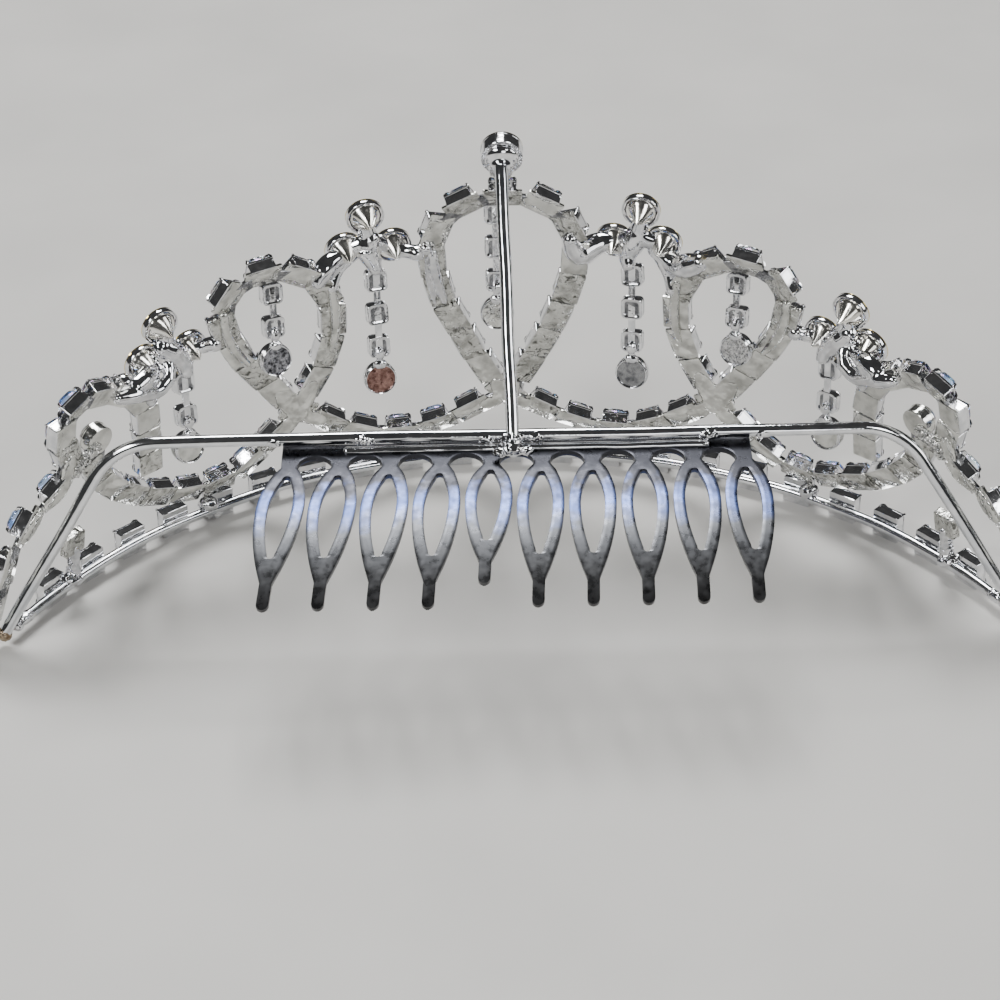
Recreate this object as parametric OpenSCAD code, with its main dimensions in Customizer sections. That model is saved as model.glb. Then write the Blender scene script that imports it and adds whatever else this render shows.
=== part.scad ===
/* [Base band] */
// Radius of the base band's curve
band_r = 58; // [56:0.5:60]
// Length of the base wire on each side of the middle
band_half = 62; // [61:0.5:62]
// Diameter of the base wire
band_wire = 1.15; // [0.9:0.05:1.2]
// Side of a square base cup
base_cup = 3.2; // [2.9:0.1:3.3]
// Distance between base cups along the wire
base_pitch = 5.65; // [5.4:0.05:5.7]
// Base cups on each side of the middle one
base_side = 10; // [6:1:10]

/* [Openwork front] */
// Lean of the front towards the back, in degrees
lean = 12; // [11:0.5:13]
// Side of a square scroll cup
cup = 2.9; // [2.7:0.1:3]
// Depth of a cup
cup_deep = 1.35; // [1.2:0.05:1.4]
// Wall of a cup
cup_wall = 0.2; // [0.15:0.05:0.25]
// Width of the link between two cups
link_wide = 1.8; // [1.4:0.1:2]

/* [Round stones] */
// Diameter of a flower stone's rim
chaton = 4.1; // [3.9:0.1:4.2]
// Diameter of the top stone's rim
top_rim = 4.3; // [4:0.1:4.4]
// Diameter of the round cup at a scroll's end
end_rim = 3.3; // [3:0.1:3.4]

/* [Drops] */
// Side of a square drop cup
drop_cup = 2.3; // [2.1:0.1:2.4]
// Distance between drop cups
drop_pitch = 3.75; // [3.6:0.05:3.9]
// Diameter of the round cup at a drop's foot
drop_disc = 3.6; // [3.4:0.1:3.7]
// Swing of the drops towards the back, in degrees from upright
swing = 8; // [6:1:10]

/* [Back wire and comb] */
// Diameter of the back wire and of the brace
back_wire = 1.3; // [1.1:0.05:1.4]
// Height of the back wire's straight top above the base wire
back_high = 19.8; // [19.6:0.1:20]
// Teeth of the comb
teeth = 10; // [6:1:10]
// Distance between teeth
tooth_pitch = 5.27; // [5.1:0.01:5.4]
// Length of a tooth below the comb's bar
tooth_long = 18.7; // [17:0.1:19]
// Thickness of the comb's sheet
sheet = 0.6; // [0.4:0.1:0.7]

/* [Hidden] */
$fn = 48;
// From the centre of the band's curve to the middle of the crown's depth, and up from its foot
middle = [0, 35.7, base_cup / 2];
// Gap between pieces, and between a stone and its cup
gap = 0.12;
// Floor under a stone, and the heights of a stone's widest line and flat table
seat = 0.55;
girdle = 1.5;
table = 2.2;
// Height of a link's lower face, its thickness, and how far a free half link reaches
link_low = 0.07;
link_thick = 0.4;
link_reach = 0.82;
// Radius and height of the solder behind a crossing
crossing_solder = [2.2, 0.5];

// Places on the front are [s, h, n]: mm along the band, mm up the lean and mm out of it.
// Stations of the scrolls' lines, from crossing to crossing on the left half of the front
middle_cross = [0, 9.6, 0];
side_cross = [24.5, 10.7, 0];
scroll_end = [50.9, 17.8, 0];
centre_pear = [middle_cross, [1.85, 12.3, 0], [3.85, 16.1, 0], [5.8, 20.3, 0], [7.5, 24.7, 0],
  [8.4, 29, 0], [8.2, 32.4, 0], [6.6, 35, 0], [3.6, 36.7, 0], [0, 37.3, 0]];
inner_scallop = [middle_cross, [3.1, 7.7, 0], [5.5, 6.4, 0], [8.1, 5.3, 0], [11, 4.75, 0],
  [13.7, 4.75, 0], [16.6, 5.6, 0], [19.5, 7.2, 0], [22.1, 9.1, 0], side_cross];
side_pear = [side_cross, [27.2, 14.5, 0], [29.9, 18.2, 0], [32.3, 21.9, 0], [33.9, 25.6, 0],
  [34, 28.4, 0], [32.4, 30.5, 0], [29.5, 31.2, 0], [26.3, 30.8, 0], [23.4, 29.3, 0],
  [21.3, 26.8, 0], [20.4, 24, 0], [20.4, 21.1, 0], [21.2, 17.8, 0], [22.6, 14.4, 0], side_cross];
outer_scallop = [side_cross, [26.9, 8.2, 0], [29.3, 5.7, 0], [32, 4, 0], [35.5, 3.4, 0],
  [39.6, 4.4, 0], [44, 6.5, 0], [47.9, 9.6, 0], [50.3, 12.6, 0], [51.5, 15.2, 0], scroll_end];
curl = [[43.4, 11, 0], [43.5, 13, 0], [43.7, 15.2, 0], [44, 17.6, 0], [44.9, 19.8, 0], [46.5, 21.6, 0],
  [49.1, 23.1, 0], [51.9, 23.9, 0], [54.4, 23.7, 0], [56, 22.6, 0], [56.2, 20.7, 0], [55.4, 18.3, 0]];
tail = [[55.4, 18.3, 0], [55.6, 15.4, 0.1], [57.4, 14.1, 0.1], [59.7, 13.4, 0.2], [62, 11.5, 0.4],
  [63.8, 8.4, 0.7], [65, 3.6, 1.1]];
// Square cups standing on the band's ends
tail_foot = [53.9, 5.1, 0];
// The loose cup at each foot of the band: side, depth, its post and the solder balls of the band
foot_cup = [2.7, 0.95];
foot_post = [1.8, 4, 0.7];
band_end_ball = [1.1, 0.72];
scallop_solder = [[35.5, 0.75, 0.3], 1];
band_solder = [34.6, -0.7, 0.7];
// Rim of a flower stone: height of its lower edge, its depth and its wall; thickness of its spoke
rim_low = 1.95;
rim_deep = 0.8;
rim_wall = 0.25;
spoke = 0.9;
// Turn of a solder ball, which keeps its seam between the spokes
ball_turn = 140;
// Flower stones at [s, h]; then each flower's solder as [place, radius], arms as [from, to, thickness]
inner_flower = [[15.95, 34.4], [18.4, 30.4], [12.75, 30.1]];
inner_solder = [[[15.6, 31.6, 1.7], 1.1], [[11.05, 30.3, 1.5], 0.72], [[19.45, 28.3, 1.2], 0.5]];
inner_arms = [[[18.7, 29, 2.3], [19.45, 28.3, 1.2], 0.85]];
outer_flower = [[41, 27.1], [43.2, 23.2], [37.2, 22.7]];
outer_web = [[40.4, 23.3, 1], [41, 21.7, -0.8], [43.4, 21, -0.8], [46.9, 22.3, -0.8]];
outer_solder = [[[40.2, 24.1, 1.5], 1.25], [[35.8, 23.3, 1.5], 0.72],
  for (k = [1 : 3]) [outer_web[k], 0.63]];
outer_arms = [for (k = [0 : 2]) [outer_web[k], outer_web[k + 1], 1.1]];
// Top stone: its place, the depth of its cup, the solder behind it and the neck under it
top_place = [0, 42.1, 0.2];
top_deep = 1.6;
top_table = 2.7;
top_solder = [1.9, 0.6];
top_neck = [[0, 40.2, 0.7], [0, 39.56, 0.7]];
// Profiles of the stones as [half width, height]: small square ones and round pointed ones
drop_profile = [[0.65, seat + gap], [0.82, 1.2], [0.5, 1.75]];
pointed_profile = [[0.09, 0], [1, 2.15], [1, 2.35], [0.62, 3.25]];
corner_cut = 0.35;
// Drops: place of the top cup, number of square cups, and length of the bar above
inner_drop = [[15.15, 27.3, 0], 3, 2.15];
pear_drop = [[27.7, 28, 0.5], 2, 0.15];
outer_drop = [[39, 20.1, 0.1], 2, 1.3];
middle_drop = [[0.9, 34.5, 0.7], 3, 0.15];
drop_deep = 1.1;
disc_deep = 1.2;
disc_table = 2;
drop_bar = [0.8, 0.35, 0.1];
// The back wire's plane, its feet and its bend
wire_foot = [52.5, -25.6];
wire_slope = 0.25;
leg_lean = 32.4;
bend_r = 7.5;
// Short of each bend, where the wire is a little fuller
knuckle = 0.06;
// The brace: its foot on the comb's bar, just clear of the back wire, and its head on the front
brace_foot = [-0.5, -28.15, 19.4];
brace_head = [0.2, 41.9, -1.2];
// The comb's curve: slope at the bar, radius, and where its teeth start
comb_r = 46;
comb_slope = 5;
comb_start = [-28.8, 18.25];
comb_middle = -0.8;
// Share of the teeth's pitch that is left at the bar, and how far all the tips lie to one side
bar_share = 0.957;
comb_drift = 0.95;
short_tooth = 5;
short_share = 0.87;
// Widths of a tooth at its neck, leaf, eye and tip, and where these lie along it
neck = 1.56;
leaf_half = 2.4;
eye_half = 1.4;
tip_half = 0.6;
leaf_middle = 7;
arch_top = 1.25;
// Along a tooth: start of its leaf, end of it, the half widths there, and the start of its shank
leaf_ends = [0.6, 15.7, 0.55, 0.65];
shank_start = 15.2;
// Along a tooth: start and end of its eye and the half width there, and the eye's round ends and radius
eye_ends = [2.8, 12.9, 0.3];
eye_rounds = [2.9, 12.8, 0.36];
// Height of the bar, and how far short of the outermost half pitch it stops
bar_high = 3.55;
bar_short = 1.7;
// How far down the sheet its pattern faces straight on
comb_face = 9.3;
// The rolled strip on the comb's bar: where it starts from the comb's own start, length and thickness
strip_start = [-19, -1.15, 0.4];
strip_long = 36;
strip_thick = 0.9;

// Angle round the crown of a place s mm along the band
function turn_at(s) = s / band_r * 180 / PI;
// Point in space of a place on the leaning front
function front_point(p) =
  let(a = turn_at(p.x), r = band_r + p.z * cos(lean) - p.y * sin(lean))
  [r * sin(a), -r * cos(a), p.y * cos(lean) + p.z * sin(lean)];
// How much shorter a step along s is at height h than at the band
function narrowing(h) = 1 - h * sin(lean) / band_r;
function heading(step, h) = atan2(step.y, step.x * narrowing(h));
// Smooth line through a table of stations, at t stations from its start
function curve(p, t) =
  let(last = len(p) - 1, i = min(floor(t), last - 1), u = t - i,
      a = p[max(i - 1, 0)], b = p[i], c = p[i + 1], d = p[min(i + 2, last)])
  b + 0.5 * u * ((c - a) + u * ((2 * a - 5 * b + 4 * c - d) + u * (3 * b - a - 3 * c + d)));
// Rows of [distance, t] that measure a line
function measured(p, parts = 8) =
  let(n = (len(p) - 1) * parts, q = [for (k = [0 : n]) front_point(curve(p, k / parts))])
  [for (k = 0, far = 0; k <= n; k = k + 1, far = k <= n ? far + norm(q[k] - q[k - 1]) : far)
    [far, k / parts]];
// Row [s, h, n, heading] of a line at t
function row(p, t) =
  let(here = curve(p, t), step = curve(p, t + 0.01) - here)
  concat(here, [heading(step, here.y)]);
// Evenly spaced rows along a line, with a share of a pitch left free at each end
function rows(p, count, free = [1, 1]) =
  let(m = measured(p), total = m[len(m) - 1][0], pitch = total / (count - 1 + free[0] + free[1]))
  [for (k = [0 : count - 1]) row(p, lookup(pitch * (k + free[0]), m))];
function reversed(p) = [for (i = [len(p) - 1 : -1 : 0]) p[i]];
function opposite(p) = [for (q = p) [-q.x, q.y, q.z]];

// Rows of cups on each line; a crossing's own cup stands upright
middle_row = concat(middle_cross, [45]);
side_row = concat(side_cross, [25]);
pear_half = [for (i = [0 : len(centre_pear) - 2]) opposite(centre_pear)[i]];
pear_rows = rows(concat(centre_pear, reversed(pear_half)), 15);
inner_rows = rows(inner_scallop, 5);
side_rows = rows(side_pear, 11);
outer_rows = rows(outer_scallop, 8);
curl_rows = rows(curl, 9, [0, 0]);
tail_rows = rows(tail, 4, [1, 0]);

// Local axes: x along the band, y up the front, z out of it
module on_front(p, turn = 0)
  translate(middle + front_point(p)) rotate([0, 0, turn_at(p.x)]) rotate([90 - lean, 0, 0])
    rotate([0, 0, turn]) children();
module at_row(r) on_front(r, r[3]) children();
// Upright on the band, with its back n mm in front of the wire's middle line
module on_band(s, n)
  translate(middle) rotate([0, 0, turn_at(s)]) translate([0, -band_r - n, 0]) rotate([90, 0, 0])
    children();
// Hanging from a place on the front, swung back from upright
module hanging(p)
  translate(middle + front_point(p)) rotate([swing, 0, 0]) rotate([0, 0, turn_at(p.x)])
    rotate([90, 0, 0]) children();
module other_side() mirror([1, 0, 0]) children();

// Cups
module square_cup(w, deep) translate([-w / 2, -w / 2, 0]) cube([w, w, deep]);
module square_pocket(w, deep) {
  inner = w - 2 * cup_wall;
  translate([-inner / 2, -inner / 2, seat]) cube([inner, inner, deep]);
}
// Flat bar between two neighbouring rows, ending inside both cups
module link(a, b, short = 1.3) {
  mid = (a + b) / 2;
  step = b - a;
  long = norm(front_point(b) - front_point(a)) - short;
  on_front(mid, heading(step, mid.y)) translate([-long / 2, -link_wide / 2, link_low])
    cube([long, link_wide, link_thick]);
}
// Half a link, reaching from the last cup of one scroll towards the next scroll
module end_link(r)
  at_row(r) translate([cup / 2 - 0.5, -link_wide / 2, link_low]) cube([link_reach, link_wide, link_thick]);
module links(list) for (i = [0 : len(list) - 2]) link(list[i], list[i + 1]);
module cups(list, w = cup) for (r = list) at_row(r) square_cup(w, cup_deep);
module pockets(list, w = cup) for (r = list) at_row(r) square_pocket(w, cup_deep);
// Low dome of solder behind a crossing, sunk a little into the cup
module solder_dome(size) {
  r = size[0];
  high = size[1];
  ball = (r * r + high * high) / (2 * high);
  rotate_extrude() intersection() {
    translate([0, ball - high]) circle(ball);
    translate([0, -high - 1]) square([r + 1, high + 1.2]);
  }
}
// Straight rod between two points, and one with slightly fuller round ends
module rod(a, b, d) {
  v = b - a;
  translate(middle + a) rotate([0, acos(v.z / norm(v)), atan2(v.y, v.x)]) {
    cylinder(d = d, h = norm(v));
    if ($children > 0) for (end = [0, norm(v)]) translate([0, 0, end]) children();
  }
}
module round_rod(a, b, d) rod(a, b, d) sphere(d = d + knuckle);

// Stones: rings of points stacked up, each [half width, height]
function ring_points(sides, cut, w, z) =
  cut == 0 ? [for (i = [0 : sides - 1]) let(a = 360 * (i + 0.5) / sides) [w * cos(a), w * sin(a), z]]
           : [for (i = [0 : 3]) for (e = [-1, 1]) let(a = 90 * i, x = w, y = e * (w - cut))
               [x * cos(a) - y * sin(a), x * sin(a) + y * cos(a), z]];
function stack_faces(sides, count) = concat([[for (i = [0 : sides - 1]) i]],
  [[for (i = [sides - 1 : -1 : 0]) (count - 1) * sides + i]],
  [for (k = [0 : count - 2]) for (i = [0 : sides - 1]) let(j = (i + 1) % sides)
    [k * sides + i, (k + 1) * sides + i, (k + 1) * sides + j, k * sides + j]]);
module stone(sides, cut, rings)
  polyhedron(points = [for (r = rings) each ring_points(sides, cut * r[0], r[0], r[1])],
    faces = stack_faces(sides, len(rings)));
// Square stone with its corners cut, in a cup of side w
module square_stone(w) {
  half = w / 2 - cup_wall - gap;
  stone(8, corner_cut, [[half * 0.8, seat + gap], [half, girdle], [half * 0.6, table]]);
}
// Round stone with a flat back, in a round cup of rim d
module flat_back_stone(d, high = table) {
  half = d / 2 - cup_wall - gap;
  stone(12, 0, [[half * 0.8, seat + gap], [half, girdle], [half * 0.6, high]]);
}
// Round stone with a pointed back
module pointed_stone(d) {
  half = d / 2 - rim_wall - gap;
  stone(12, 0, [for (r = pointed_profile) [half * r[0], r[1]]]);
}
module stones(list, w = cup) for (r = list) at_row(r) square_stone(w);

// Base band
module base_rows() for (k = [-base_side : base_side]) on_band(k * base_pitch, 0.35) children();
module base_band() {
  end = turn_at(band_half);
  color("silver") difference() {
    union() {
      translate(middle) rotate([0, 0, -90 - end]) rotate_extrude(angle = 2 * end)
        translate([band_r, 0]) circle(d = band_wire);
      base_rows() square_cup(base_cup, cup_deep);
      for (e = [-1, 1]) {
        on_band(e * band_half, 0) sphere(d = band_wire + 2 * knuckle);
        on_band(e * (band_half + band_end_ball[0]), 0) sphere(band_end_ball[1]);
        on_front([e * scallop_solder[0].x, scallop_solder[0].y, scallop_solder[0].z])
          sphere(scallop_solder[1]);
        on_front([e * tail_foot.x, 0, 0.2]) translate([-foot_post.x / 2, 0, 0]) cube(foot_post);
        on_front([e * tail_foot.x, tail_foot.y, 0.1]) square_cup(foot_cup[0], foot_cup[1]);
      }
      on_band(band_solder[0], 0) translate([0, band_solder[1], 0]) sphere(band_solder[2]);
    }
    base_rows() square_pocket(base_cup, cup_deep);
  }
}
module base_stones() color("lightcyan") base_rows() square_stone(base_cup);

// Scrolls
module centre_scroll() {
  sides = inner_rows;
  ring = concat([middle_row], pear_rows, [middle_row]);
  color("silver") difference() {
    union() {
      at_row(middle_row) square_cup(cup, cup_deep);
      links(ring);
      cups(pear_rows);
      links(concat([middle_row], sides));
      cups(sides);
      other_side() {
        links(concat([middle_row], sides));
        cups(sides);
        end_link(sides[4]);
      }
      end_link(sides[4]);
      on_front(middle_cross) solder_dome(crossing_solder);
    }
    at_row(middle_row) square_pocket(cup, cup_deep);
    pockets(pear_rows);
    pockets(sides);
    other_side() pockets(sides);
  }
}
module centre_scroll_stones() color("lightcyan") {
  stones(concat([middle_row], pear_rows, inner_rows));
  other_side() stones(inner_rows);
}
module side_scroll() {
  ring = concat([side_row], side_rows, [side_row]);
  foot = concat([side_row], outer_rows, [row(outer_scallop, len(outer_scallop) - 1)]);
  color("silver") difference() {
    union() {
      cups([side_row]);
      links(ring);
      cups(side_rows);
      links(foot);
      cups(outer_rows);
      on_front(scroll_end) cylinder(d = end_rim, h = cup_deep);
      on_front(side_cross) solder_dome(crossing_solder);
    }
    pockets(concat([side_row], side_rows, outer_rows));
    on_front(scroll_end) translate([0, 0, seat]) cylinder(d = end_rim - 2 * cup_wall, h = cup_deep);
  }
}
module side_scroll_stones() color("lightcyan") {
  stones(concat([side_row], side_rows, outer_rows));
  on_front(scroll_end) flat_back_stone(end_rim);
}
module left_scroll() side_scroll();
module right_scroll() other_side() side_scroll();
module left_scroll_stones() side_scroll_stones();
module right_scroll_stones() other_side() side_scroll_stones();
module side_curl() {
  all_rows = concat(curl_rows, tail_rows);
  color("silver") difference() {
    union() {
      links(all_rows);
      cups(all_rows);
    }
    pockets(all_rows);
  }
}
module side_curl_stones() color("lightcyan") stones(concat(curl_rows, tail_rows));
module left_curl() side_curl();
module right_curl() other_side() side_curl();
module left_curl_stones() side_curl_stones();
module right_curl_stones() other_side() side_curl_stones();

// Top stone and its setting
module top_setting() {
  color("silver") difference() {
    union() {
      on_front(top_place) cylinder(d = top_rim, h = top_deep);
      on_front(top_place) solder_dome(top_solder);
      round_rod(front_point(top_neck[0]), front_point(top_neck[1]), back_wire);
    }
    on_front(top_place) translate([0, 0, seat]) cylinder(d = top_rim - 2 * cup_wall, h = top_deep);
  }
}
module top_stone() color("lightcyan") on_front(top_place) flat_back_stone(top_rim, top_table);

// Flowers
module flower(heads, solder, arms) {
  color("silver") difference() {
    union() {
      for (c = heads) {
        on_front([c.x, c.y, rim_low]) cylinder(d = chaton, h = rim_deep);
        rod(front_point(solder[0][0]), front_point([c.x, c.y, rim_low + rim_deep / 2]), spoke);
      }
      for (b = solder) on_front(b[0], ball_turn) sphere(b[1]);
      for (a = arms) rod(front_point(a[0]), front_point(a[1]), a[2]);
    }
    for (c = heads) on_front([c.x, c.y, 0]) cylinder(d = chaton - 2 * rim_wall, h = 2 * rim_low);
  }
}
module flower_stones(heads) for (c = heads) on_front([c.x, c.y, 0]) pointed_stone(chaton);
module inner_flower_metal() flower(inner_flower, inner_solder, inner_arms);
module outer_flower_metal() flower(outer_flower, outer_solder, outer_arms);
module left_inner_flower() inner_flower_metal();
module right_inner_flower() other_side() inner_flower_metal();
module left_outer_flower() outer_flower_metal();
module right_outer_flower() other_side() outer_flower_metal();
module left_inner_flower_stones() color("lightcyan") flower_stones(inner_flower);
module right_inner_flower_stones() color("lightcyan") other_side() flower_stones(inner_flower);
module left_outer_flower_stones() color("lightcyan") flower_stones(outer_flower);
module right_outer_flower_stones() color("lightcyan") other_side() flower_stones(outer_flower);

// Drops
module drop(d) {
  foot = d[1] * drop_pitch;
  color("silver") hanging(d[0]) difference() {
    union() {
      for (k = [0 : d[1] - 1]) translate([0, -k * drop_pitch, 0]) square_cup(drop_cup, drop_deep);
      translate([-drop_bar[0] / 2, -foot, drop_bar[2]])
        cube([drop_bar[0], foot + drop_cup / 2 + d[2], drop_bar[1]]);
      translate([0, -foot, 0]) cylinder(d = drop_disc, h = disc_deep);
    }
    for (k = [0 : d[1] - 1]) translate([0, -k * drop_pitch, 0]) square_pocket(drop_cup, drop_deep);
    translate([0, -foot, seat]) cylinder(d = drop_disc - 2 * cup_wall, h = disc_deep);
  }
}
module drop_stones(d) color("lightcyan") hanging(d[0]) {
  for (k = [0 : d[1] - 1]) translate([0, -k * drop_pitch, 0]) stone(8, corner_cut, drop_profile);
  translate([0, -d[1] * drop_pitch, 0]) flat_back_stone(drop_disc, disc_table);
}
module centre_drop() drop(middle_drop);
module left_inner_drop() drop(inner_drop);
module right_inner_drop() other_side() drop(inner_drop);
module left_pear_drop() drop(pear_drop);
module right_pear_drop() other_side() drop(pear_drop);
module left_outer_drop() drop(outer_drop);
module right_outer_drop() other_side() drop(outer_drop);
module centre_drop_stones() drop_stones(middle_drop);
module left_inner_drop_stones() drop_stones(inner_drop);
module right_inner_drop_stones() other_side() drop_stones(inner_drop);
module left_pear_drop_stones() drop_stones(pear_drop);
module right_pear_drop_stones() other_side() drop_stones(pear_drop);
module left_outer_drop_stones() drop_stones(outer_drop);
module right_outer_drop_stones() other_side() drop_stones(outer_drop);

// Back wire: two legs, two bends and a straight top, bent in one tilted plane
module back_wire() {
  tilt = atan(wire_slope);
  top = back_high / cos(tilt);
  turn = 90 - leg_lean;
  reach = bend_r * tan(turn / 2);
  corner = wire_foot[0] - top * tan(leg_lean);
  leg = top / cos(leg_lean) - reach;
  color("silver") translate(middle + [0, wire_foot[1], 0]) rotate([90 + tilt, 0, 0]) {
    translate([reach - corner + knuckle, top, 0]) rotate([0, 90, 0])
      cylinder(d = back_wire, h = 2 * (corner - reach - knuckle));
    for (e = [0, 1]) mirror([e, 0, 0]) {
      translate([corner - reach, top - bend_r, 0]) rotate([0, 0, leg_lean]) rotate_extrude(angle = turn)
        translate([bend_r, 0]) circle(d = back_wire);
      translate([corner - reach, top, 0]) rotate([0, 90, 0]) sphere(d = back_wire + 0.08);
      translate([wire_foot[0], 0, 0]) rotate([0, 0, leg_lean]) rotate([-90, 0, 0]) {
        cylinder(d = back_wire, h = leg - knuckle);
        translate([0, 0, leg]) sphere(d = back_wire + 0.08);
        sphere(d = back_wire + 0.06);
      }
    }
  }
}
module brace() {
  color("silver") round_rod(brace_foot, front_point(brace_head), back_wire);
}

// Comb: a flat pattern cut through a curved sheet
// Half of a leaf outline between two widths, t mm along the tooth
module leaf(wide, middle_t, start_t, end_t, start_half, end_half) {
  for (part = [[start_t, start_half], [end_t, end_half]]) {
    run = abs(part[0] - middle_t);
    drop = wide - part[1];
    r = (run * run + drop * drop) / (2 * drop);
    intersection() {
      translate([wide - r, -middle_t]) circle(r, $fn = 96);
      translate([r - wide, -middle_t]) circle(r, $fn = 96);
      translate([-wide, -max(part[0], middle_t)]) square([2 * wide, run]);
    }
  }
}
module tooth(share) {
  tip = tooth_long * share;
  difference() {
    union() {
      leaf(leaf_half, leaf_middle * share, leaf_ends[0], leaf_ends[1] * share, leaf_ends[2], leaf_ends[3]);
      translate([-tip_half, -tip + tip_half]) square([2 * tip_half, tip - shank_start * share]);
      translate([0, -tip + tip_half]) circle(tip_half);
    }
    leaf(eye_half, leaf_middle * share, eye_ends[0] * share, eye_ends[1] * share, eye_ends[2], eye_ends[2]);
    for (k = [0, 1]) translate([0, -eye_rounds[k] * share]) circle(eye_rounds[2]);
  }
}
module comb_pattern() {
  bar_pitch = tooth_pitch * bar_share;
  half = teeth * bar_pitch / 2;
  for (k = [0 : teeth - 1]) {
    tip = (teeth / 2 - k - 0.5) * tooth_pitch;
    fan = atan((tip * (1 - bar_share) + comb_drift) / (tooth_long - arch_top));
    translate([tip * bar_share, -arch_top]) rotate(fan) translate([0, arch_top])
      tooth(k == short_tooth - 1 ? short_share : 1);
  }
  difference() {
    translate([bar_short - half, -arch_top]) square([2 * (half - bar_short), bar_high]);
    for (k = [1 : teeth - 1]) translate([half - k * bar_pitch, -arch_top])
      circle((bar_pitch - neck) / 2);
  }
}
module comb() {
  axis = comb_start - comb_r * [sin(comb_slope), cos(comb_slope)];
  aim = comb_slope + comb_face / comb_r * 180 / PI;
  wide = teeth * tooth_pitch + tooth_long;
  color("gainsboro") translate(middle + [comb_middle, 0, 0]) {
    intersection() {
      translate([-wide / 2, axis[0], axis[1]]) rotate([0, 90, 0]) difference() {
        cylinder(r = comb_r + sheet / 2, h = wide);
        translate([0, 0, -sheet]) cylinder(r = comb_r - sheet / 2, h = wide + 2 * sheet);
      }
      translate([0, comb_start[0], comb_start[1]]) rotate([-aim, 0, 0])
        translate([0, 0, -tooth_long / 2])
        mirror([0, 1, 0]) linear_extrude(tooth_long) comb_pattern();
    }
    translate([0, comb_start[0], comb_start[1]]) translate(strip_start) rotate([0, 90, 0])
      cylinder(d = strip_thick, h = strip_long);
  }
}

base_band();
base_stones();
back_wire();
brace();
comb();
centre_scroll();
left_scroll();
right_scroll();
left_curl();
right_curl();
centre_scroll_stones();
left_scroll_stones();
right_scroll_stones();
left_curl_stones();
right_curl_stones();
top_setting();
top_stone();
left_inner_flower();
right_inner_flower();
left_outer_flower();
right_outer_flower();
left_inner_flower_stones();
right_inner_flower_stones();
left_outer_flower_stones();
right_outer_flower_stones();
centre_drop();
left_inner_drop();
right_inner_drop();
left_pear_drop();
right_pear_drop();
left_outer_drop();
right_outer_drop();
centre_drop_stones();
left_inner_drop_stones();
right_inner_drop_stones();
left_pear_drop_stones();
right_pear_drop_stones();
left_outer_drop_stones();
right_outer_drop_stones();
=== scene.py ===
import math
import bmesh
import bpy
import numpy as np
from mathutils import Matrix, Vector


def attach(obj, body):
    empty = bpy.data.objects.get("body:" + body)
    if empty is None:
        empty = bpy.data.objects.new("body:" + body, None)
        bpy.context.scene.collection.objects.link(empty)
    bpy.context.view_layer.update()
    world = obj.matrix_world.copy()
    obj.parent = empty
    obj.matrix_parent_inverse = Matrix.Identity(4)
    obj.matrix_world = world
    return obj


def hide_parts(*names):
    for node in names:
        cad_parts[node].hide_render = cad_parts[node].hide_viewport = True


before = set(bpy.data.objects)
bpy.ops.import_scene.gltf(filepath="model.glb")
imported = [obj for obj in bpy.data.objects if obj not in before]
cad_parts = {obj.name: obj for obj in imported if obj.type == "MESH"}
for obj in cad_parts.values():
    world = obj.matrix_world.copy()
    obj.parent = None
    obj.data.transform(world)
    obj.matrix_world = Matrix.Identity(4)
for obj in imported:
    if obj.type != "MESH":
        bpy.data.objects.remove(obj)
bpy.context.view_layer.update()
print("tiara: the packed model is loaded")

mm = 0.001  # every length below is in millimetres until a piece is made


# The camera and its place come first: seen from behind, a third of the way up
camera = {
    "target": (0.94, 9.7, 16.6),
    "distance": 230.0,
    "elevation": 33.95,
    "roll": -1.22,
    "lens": 82.8,
}


def addCamera(c):
    data = bpy.data.cameras.new("camera")
    data.lens = c["lens"]
    data.clip_start = 0.01
    eye = bpy.data.objects.new("camera", data)
    bpy.context.scene.collection.objects.link(eye)
    up = math.radians(c["elevation"])
    away = Vector((0, math.cos(up), math.sin(up)))
    eye.location = (Vector(c["target"]) + away * c["distance"]) * mm
    eye.rotation_euler = away.to_track_quat("Z", "Y").to_euler()
    eye.rotation_euler.rotate_axis("Z", math.radians(c["roll"]))
    bpy.context.scene.camera = eye


addCamera(camera)

# Layout of the crown, as in the construction: a place is [s, h, n], in mm along the band,
# up the leaning front and out of it, and a row adds the turn of what stands there
crown = {
    "bandRadius": 58.0,
    "lean": 12.0,
    "middle": np.array([0.0, 35.7, 1.6]),
    "cup": 2.9,
    "cupDeep": 1.35,
    "cupWall": 0.2,
    "seat": 0.55,
    "gap": 0.12,
}

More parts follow.
